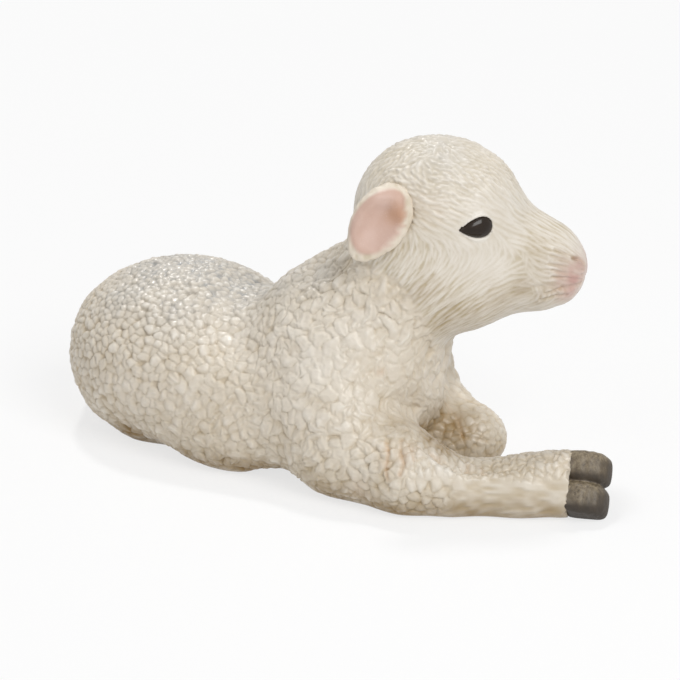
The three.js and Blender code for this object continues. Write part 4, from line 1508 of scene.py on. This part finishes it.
class Leaf:
    """An ear's skin, and where its points lie along and across the ear."""

    def __init__(self, node, head_middle):
        """Draws the skin and measures it from the ear's middle, towards its root and its front."""
        bm = merged_copy((node,))
        name = node + "_leaf"
        self.mesh = remeshed(bm, name, growth=0.2 * MM, pitch=0.18 * MM, rounds=34, shrink=0.04 * MM)
        self.points = mesh_points(self.mesh)
        self.normals = mesh_normals(self.mesh)
        middle, self.rootward, across, self.outward = leaf_frame(self.points, head_middle)
        offset = self.points - middle
        length = offset @ self.rootward
        self.width = offset @ across
        self.half_width = (self.width.max() - self.width.min()) / 2.0
        self.length_share = length / ((length.max() - length.min()) / 2.0)
        self.width_share = self.width / self.half_width

    def inside(self, ears):
        """1 on the pink inside of the ear, and 0 on its cream rim and back."""
        front = smooth_step(-0.1, 0.8, self.width_share)
        rim = (ears.rim_rear + (ears.rim_front - ears.rim_rear) * front) / MM / self.half_width
        painted = np.hypot((self.length_share + INSIDE_SHIFT) / INSIDE_LENGTH, self.width_share)
        ruffle = soft_noise(self.points * np.array([0.6, 0.6, 1.4]), 0.45, 85)
        ragged = painted + front * 0.09 * ruffle
        edge = 1.0 - smooth_step(1.0 - rim - 0.07 - 0.2 * front, 1.0 - rim + 0.07, ragged)
        return smooth_step(-0.1, 0.3, self.normals @ self.outward) * edge

    def hollow(self):
        """Relief of the inside: fine folds, a bowl made shallower, and a thick fold along the front."""
        level = np.hypot(self.length_share, self.width_share)
        folds = np.sin(self.width * 2.2 + soft_noise(self.points, 1.6, 83) * 2.0) * 0.05
        bowl = (1.0 - np.clip(level, 0.0, 1.0) ** 2) * 0.36
        front = np.exp(-(((self.width_share - 0.82) / 0.15) ** 2))
        return folds + bowl + 0.16 * (front * smooth_step(-0.1, 0.4, self.length_share))

    def form(self, relief):
        """Raises the skin by its relief, and draws the root towards the head and into it."""
        towards_head = self.rootward * 0.42 - self.outward * 0.26
        root = smooth_step(0.25, 0.75, self.length_share)[:, None] * towards_head
        set_points(self.mesh, self.points + self.normals * relief[:, None] + root)

    def shade(self, inside):
        """The wash in the front of the root."""
        shade = smooth_step(-0.15, 0.35, self.length_share)
        shade = shade * smooth_step(-0.3, 0.3, self.width_share) * inside
        return shade * smooth_step(-0.9, 0.4, soft_noise(self.points, 1.4, 91))


class LAMB_OT_ears(bpy.types.Operator):
    """Forms the ears: hollow leaves with a rolled cream rim, pink inside, short hair on the back"""

    bl_idname = "lamb.ears"
    bl_label = "Ears"

    def execute(self, context):
        """Draws, forms and paints a leaf for each ear."""
        low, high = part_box("head")
        head_middle = np.array((low + high) / 2.0) / MM
        for node in ("right_ear", "left_ear"):
            leaf = Leaf(node, head_middle)
            inside = leaf.inside(context.scene.lamb_ears)
            tufts = soft_noise(leaf.points * np.array([1.0, 1.0, 0.55]), 0.4, 87) * EAR_TUFT
            leaf.form(inside * leaf.hollow() + (1.0 - inside) * tufts)
            set_attribute(leaf.mesh, "inside", inside)
            set_attribute(leaf.mesh, "root", leaf.shade(inside))
            hollow = smooth_step(-0.1, 0.8, -tufts / EAR_TUFT)
            set_attribute(leaf.mesh, "cavity", (1.0 - inside) * hollow * 0.45)
            shade_smooth(leaf.mesh)
            dress(placed_piece(node + "_leaf", leaf.mesh), ear_material(), "ear", node)
        return {"FINISHED"}


def shut_in(tree, points, normals):
    """1 where a point faces another part of the same piece close by, as in a cleft."""
    nearest = []
    for point, normal in zip(points, normals):
        hit = tree.ray_cast(point + normal * CLEFT_START, normal, CLEFT_REACH)[3]
        nearest.append(hit if hit is not None else CLEFT_REACH)
    return 1.0 - smooth_step(0.1, 1.3, np.array(nearest))


def horn(name, hooves):
    """A hoof's skin with growth lines, drawn back into the wool, and with its paint's masks."""
    node = name + "_hoof"
    bm = merged_copy((node,))
    mesh = remeshed(bm, node + "_horn", growth=0.14 * MM, pitch=0.12 * MM, rounds=26, shrink=0.02 * MM)
    points = mesh_points(mesh)
    normals = mesh_normals(mesh)
    edge, heading = hoof_frame(name)
    along = (points - edge) @ heading
    line = np.sin(along * 7.0 + soft_noise(points, 0.8, 97) * 1.5) + soft_noise(points, 0.3, 101) * 0.7
    amount = smooth_step(0.05, 0.6, points[:, 2])
    points = points + normals * (line * amount * hooves.streak_depth / MM)[:, None]
    points -= heading * (hooves.reach_back / MM * (1.0 - smooth_step(0.4, 1.2, along)))[:, None]
    points[:, 2] = np.maximum(points[:, 2], 0.0)
    set_points(mesh, points)
    # Masks of painted shade in the cleft, on the side faces and at the floor, and of painted light on the
    # tops
    shut = shut_in(surface_tree((node,)), points, normals)
    side = 0.8 * smooth_step(0.75, 0.1, normals[:, 2])
    low = 1.0 - smooth_step(0.0, 0.5, points[:, 2])
    set_attribute(mesh, "cavity", np.maximum(np.maximum(shut, low), side))
    set_attribute(mesh, "edge", smooth_step(0.2, 0.9, normals[:, 2]) * (1.0 - shut))
    shade_smooth(mesh)
    return mesh


class LAMB_OT_hooves(bpy.types.Operator):
    """Gives the cloven hooves their growth lines and dry-brushed paint"""

    bl_idname = "lamb.hooves"
    bl_label = "Hooves"

    def execute(self, context):
        """Makes the horn of each hoof."""
        for name in HOOVED:
            node = name + "_hoof"
            mesh = horn(name, context.scene.lamb_hooves)
            dress(placed_piece(node + "_horn", mesh), hoof_material(), "hoof", node)
        return {"FINISHED"}


def soft_lamp(name, place, aim, size, power):
    """A square lamp at a place, turned to its aim."""
    data = bpy.data.lights.new(name, "AREA")
    data.size = size
    data.energy = power
    lamp = bpy.data.objects.new(name, data)
    lamp.location = place
    lamp.rotation_euler = (Vector(aim) - Vector(place)).to_track_quat("-Z", "Y").to_euler()
    bpy.context.scene.collection.objects.link(lamp)


class LAMB_OT_stage(bpy.types.Operator):
    """Sets the pale floor, the studio lamps, the sky and the camera"""

    bl_idname = "lamb.stage"
    bl_label = "Stage"

    def execute(self, context):
        """Sets the stage up, from the floor to the camera."""
        stage = context.scene.lamb_stage
        self.floor(context.scene, stage.floor_paint)
        for name, place, size, setting in LAMPS:
            soft_lamp(name, place, LAMP_AIM, size, getattr(stage, setting))
        self.sky(context.scene, stage.sky_level)
        self.camera(context.scene)
        return {"FINISHED"}

    def floor(self, scene, colour):
        """Lays a large square under the figure."""
        bm = bmesh.new()
        bmesh.ops.create_grid(bm, x_segments=1, y_segments=1, size=FLOOR_REACH)
        mesh = bpy.data.meshes.new("floor")
        bm.to_mesh(mesh)
        bm.free()
        floor = bpy.data.objects.new("floor", mesh)
        scene.collection.objects.link(floor)
        mesh.materials.append(self.floor_material(colour))

    def floor_material(self, colour):
        """Matt paint that glows white where the camera sees it, least under the figure."""
        material, w, shader = painted_material("pale_floor")
        shader.inputs["Base Color"].default_value = (*colour, 1.0)
        shader.inputs["Roughness"].default_value = 0.9
        light = w.add("ShaderNodeEmission", {"Color": (1.0, 1.0, 1.0), "Strength": 1.0})
        apart = w.add("ShaderNodeVectorMath", {0: w.place()}, operation="LENGTH").outputs["Value"]
        rays = self.plain_rays(w)
        glow = w.spread(apart, SHADOW_FROM, SHADOW_TO, SHADOW_GLOW, 1.0)
        blend = w.add("ShaderNodeMixShader", {"Fac": w.maths("MULTIPLY", rays, glow)})
        w.feed(blend.inputs[1], shader.outputs["BSDF"])
        w.feed(blend.inputs[2], light.outputs["Emission"])
        w.feed(material.node_tree.nodes["Material Output"].inputs["Surface"], blend.outputs["Shader"])
        return material

    def plain_rays(self, w):
        """1 for what the camera sees, straight, mirrored or through something clear."""
        rays = w.add("ShaderNodeLightPath").outputs
        clear = w.maths("ADD", rays["Is Glossy Ray"], rays["Is Transmission Ray"])
        return w.maths("ADD", rays["Is Camera Ray"], clear, clamp=True)

    def sky(self, scene, level):
        """Lights the scene evenly from all round, in front of a white backdrop."""
        world = bpy.data.worlds.new("studio_sky")
        world.use_nodes = True
        scene.world = world
        w = Wiring(world.node_tree)
        backdrop = world.node_tree.nodes["Background"]
        backdrop.inputs["Color"].default_value = (1.0, 1.0, 1.0, 1.0)
        w.feed(backdrop.inputs["Strength"], w.spread(self.plain_rays(w), 0.0, 1.0, level, 1.0))

    def camera(self, scene):
        """Sets the camera where the photograph was taken from."""
        right, up, back = view_axes()
        data = bpy.data.cameras.new("photograph_view")
        data.sensor_width = 36.0
        data.lens = data.sensor_width * VIEW_DISTANCE / VIEW_WIDTH
        camera = bpy.data.objects.new("photograph_view", data)
        turn = Matrix((right, up, back)).transposed().to_4x4()
        camera.matrix_world = Matrix.Translation((VIEW_TARGET + back * VIEW_DISTANCE) * MM) @ turn
        scene.collection.objects.link(camera)
        scene.camera = camera
        scene.view_settings.view_transform = "Standard"


class LAMB_PT_panel(bpy.types.Panel):
    """The lamb's pieces and their settings"""

    bl_idname = "LAMB_PT_panel"
    bl_label = "Lamb"
    bl_space_type = "VIEW_3D"
    bl_region_type = "UI"
    bl_category = "Lamb"

    def draw(self, context):
        """Shows a button for each piece, with its settings under it."""
        for operator, group in PIECES:
            box = self.layout.box()
            box.operator(operator.bl_idname)
            settings = getattr(context.scene, group)
            for name in settings.__annotations__:
                box.prop(settings, name)


PIECES = (
    (LAMB_OT_fleece, "lamb_fleece"),
    (LAMB_OT_face, "lamb_face"),
    (LAMB_OT_eyes, "lamb_face"),
    (LAMB_OT_ears, "lamb_ears"),
    (LAMB_OT_hooves, "lamb_hooves"),
    (LAMB_OT_stage, "lamb_stage"),
)
GROUPS = {
    "lamb_fleece": FleeceSettings,
    "lamb_face": FaceSettings,
    "lamb_ears": EarSettings,
    "lamb_hooves": HoofSettings,
    "lamb_stage": StageSettings,
}
CLASSES = (*GROUPS.values(), *(operator for operator, _ in PIECES), LAMB_PT_panel)


def register():
    """Adds the settings, the operators and the panel."""
    for item in CLASSES:
        bpy.utils.register_class(item)
    for name, group in GROUPS.items():
        setattr(bpy.types.Scene, name, bpy.props.PointerProperty(type=group))


def unregister():
    """Takes the settings, the operators and the panel out again."""
    for name in GROUPS:
        delattr(bpy.types.Scene, name)
    for item in reversed(CLASSES):
        bpy.utils.unregister_class(item)


def main():
    register()
    bpy.ops.lamb.fleece()
    bpy.ops.lamb.face()
    bpy.ops.lamb.eyes()
    bpy.ops.lamb.ears()
    bpy.ops.lamb.hooves()
    bpy.ops.lamb.stage()
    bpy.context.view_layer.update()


if __name__ == "__main__":
    main()
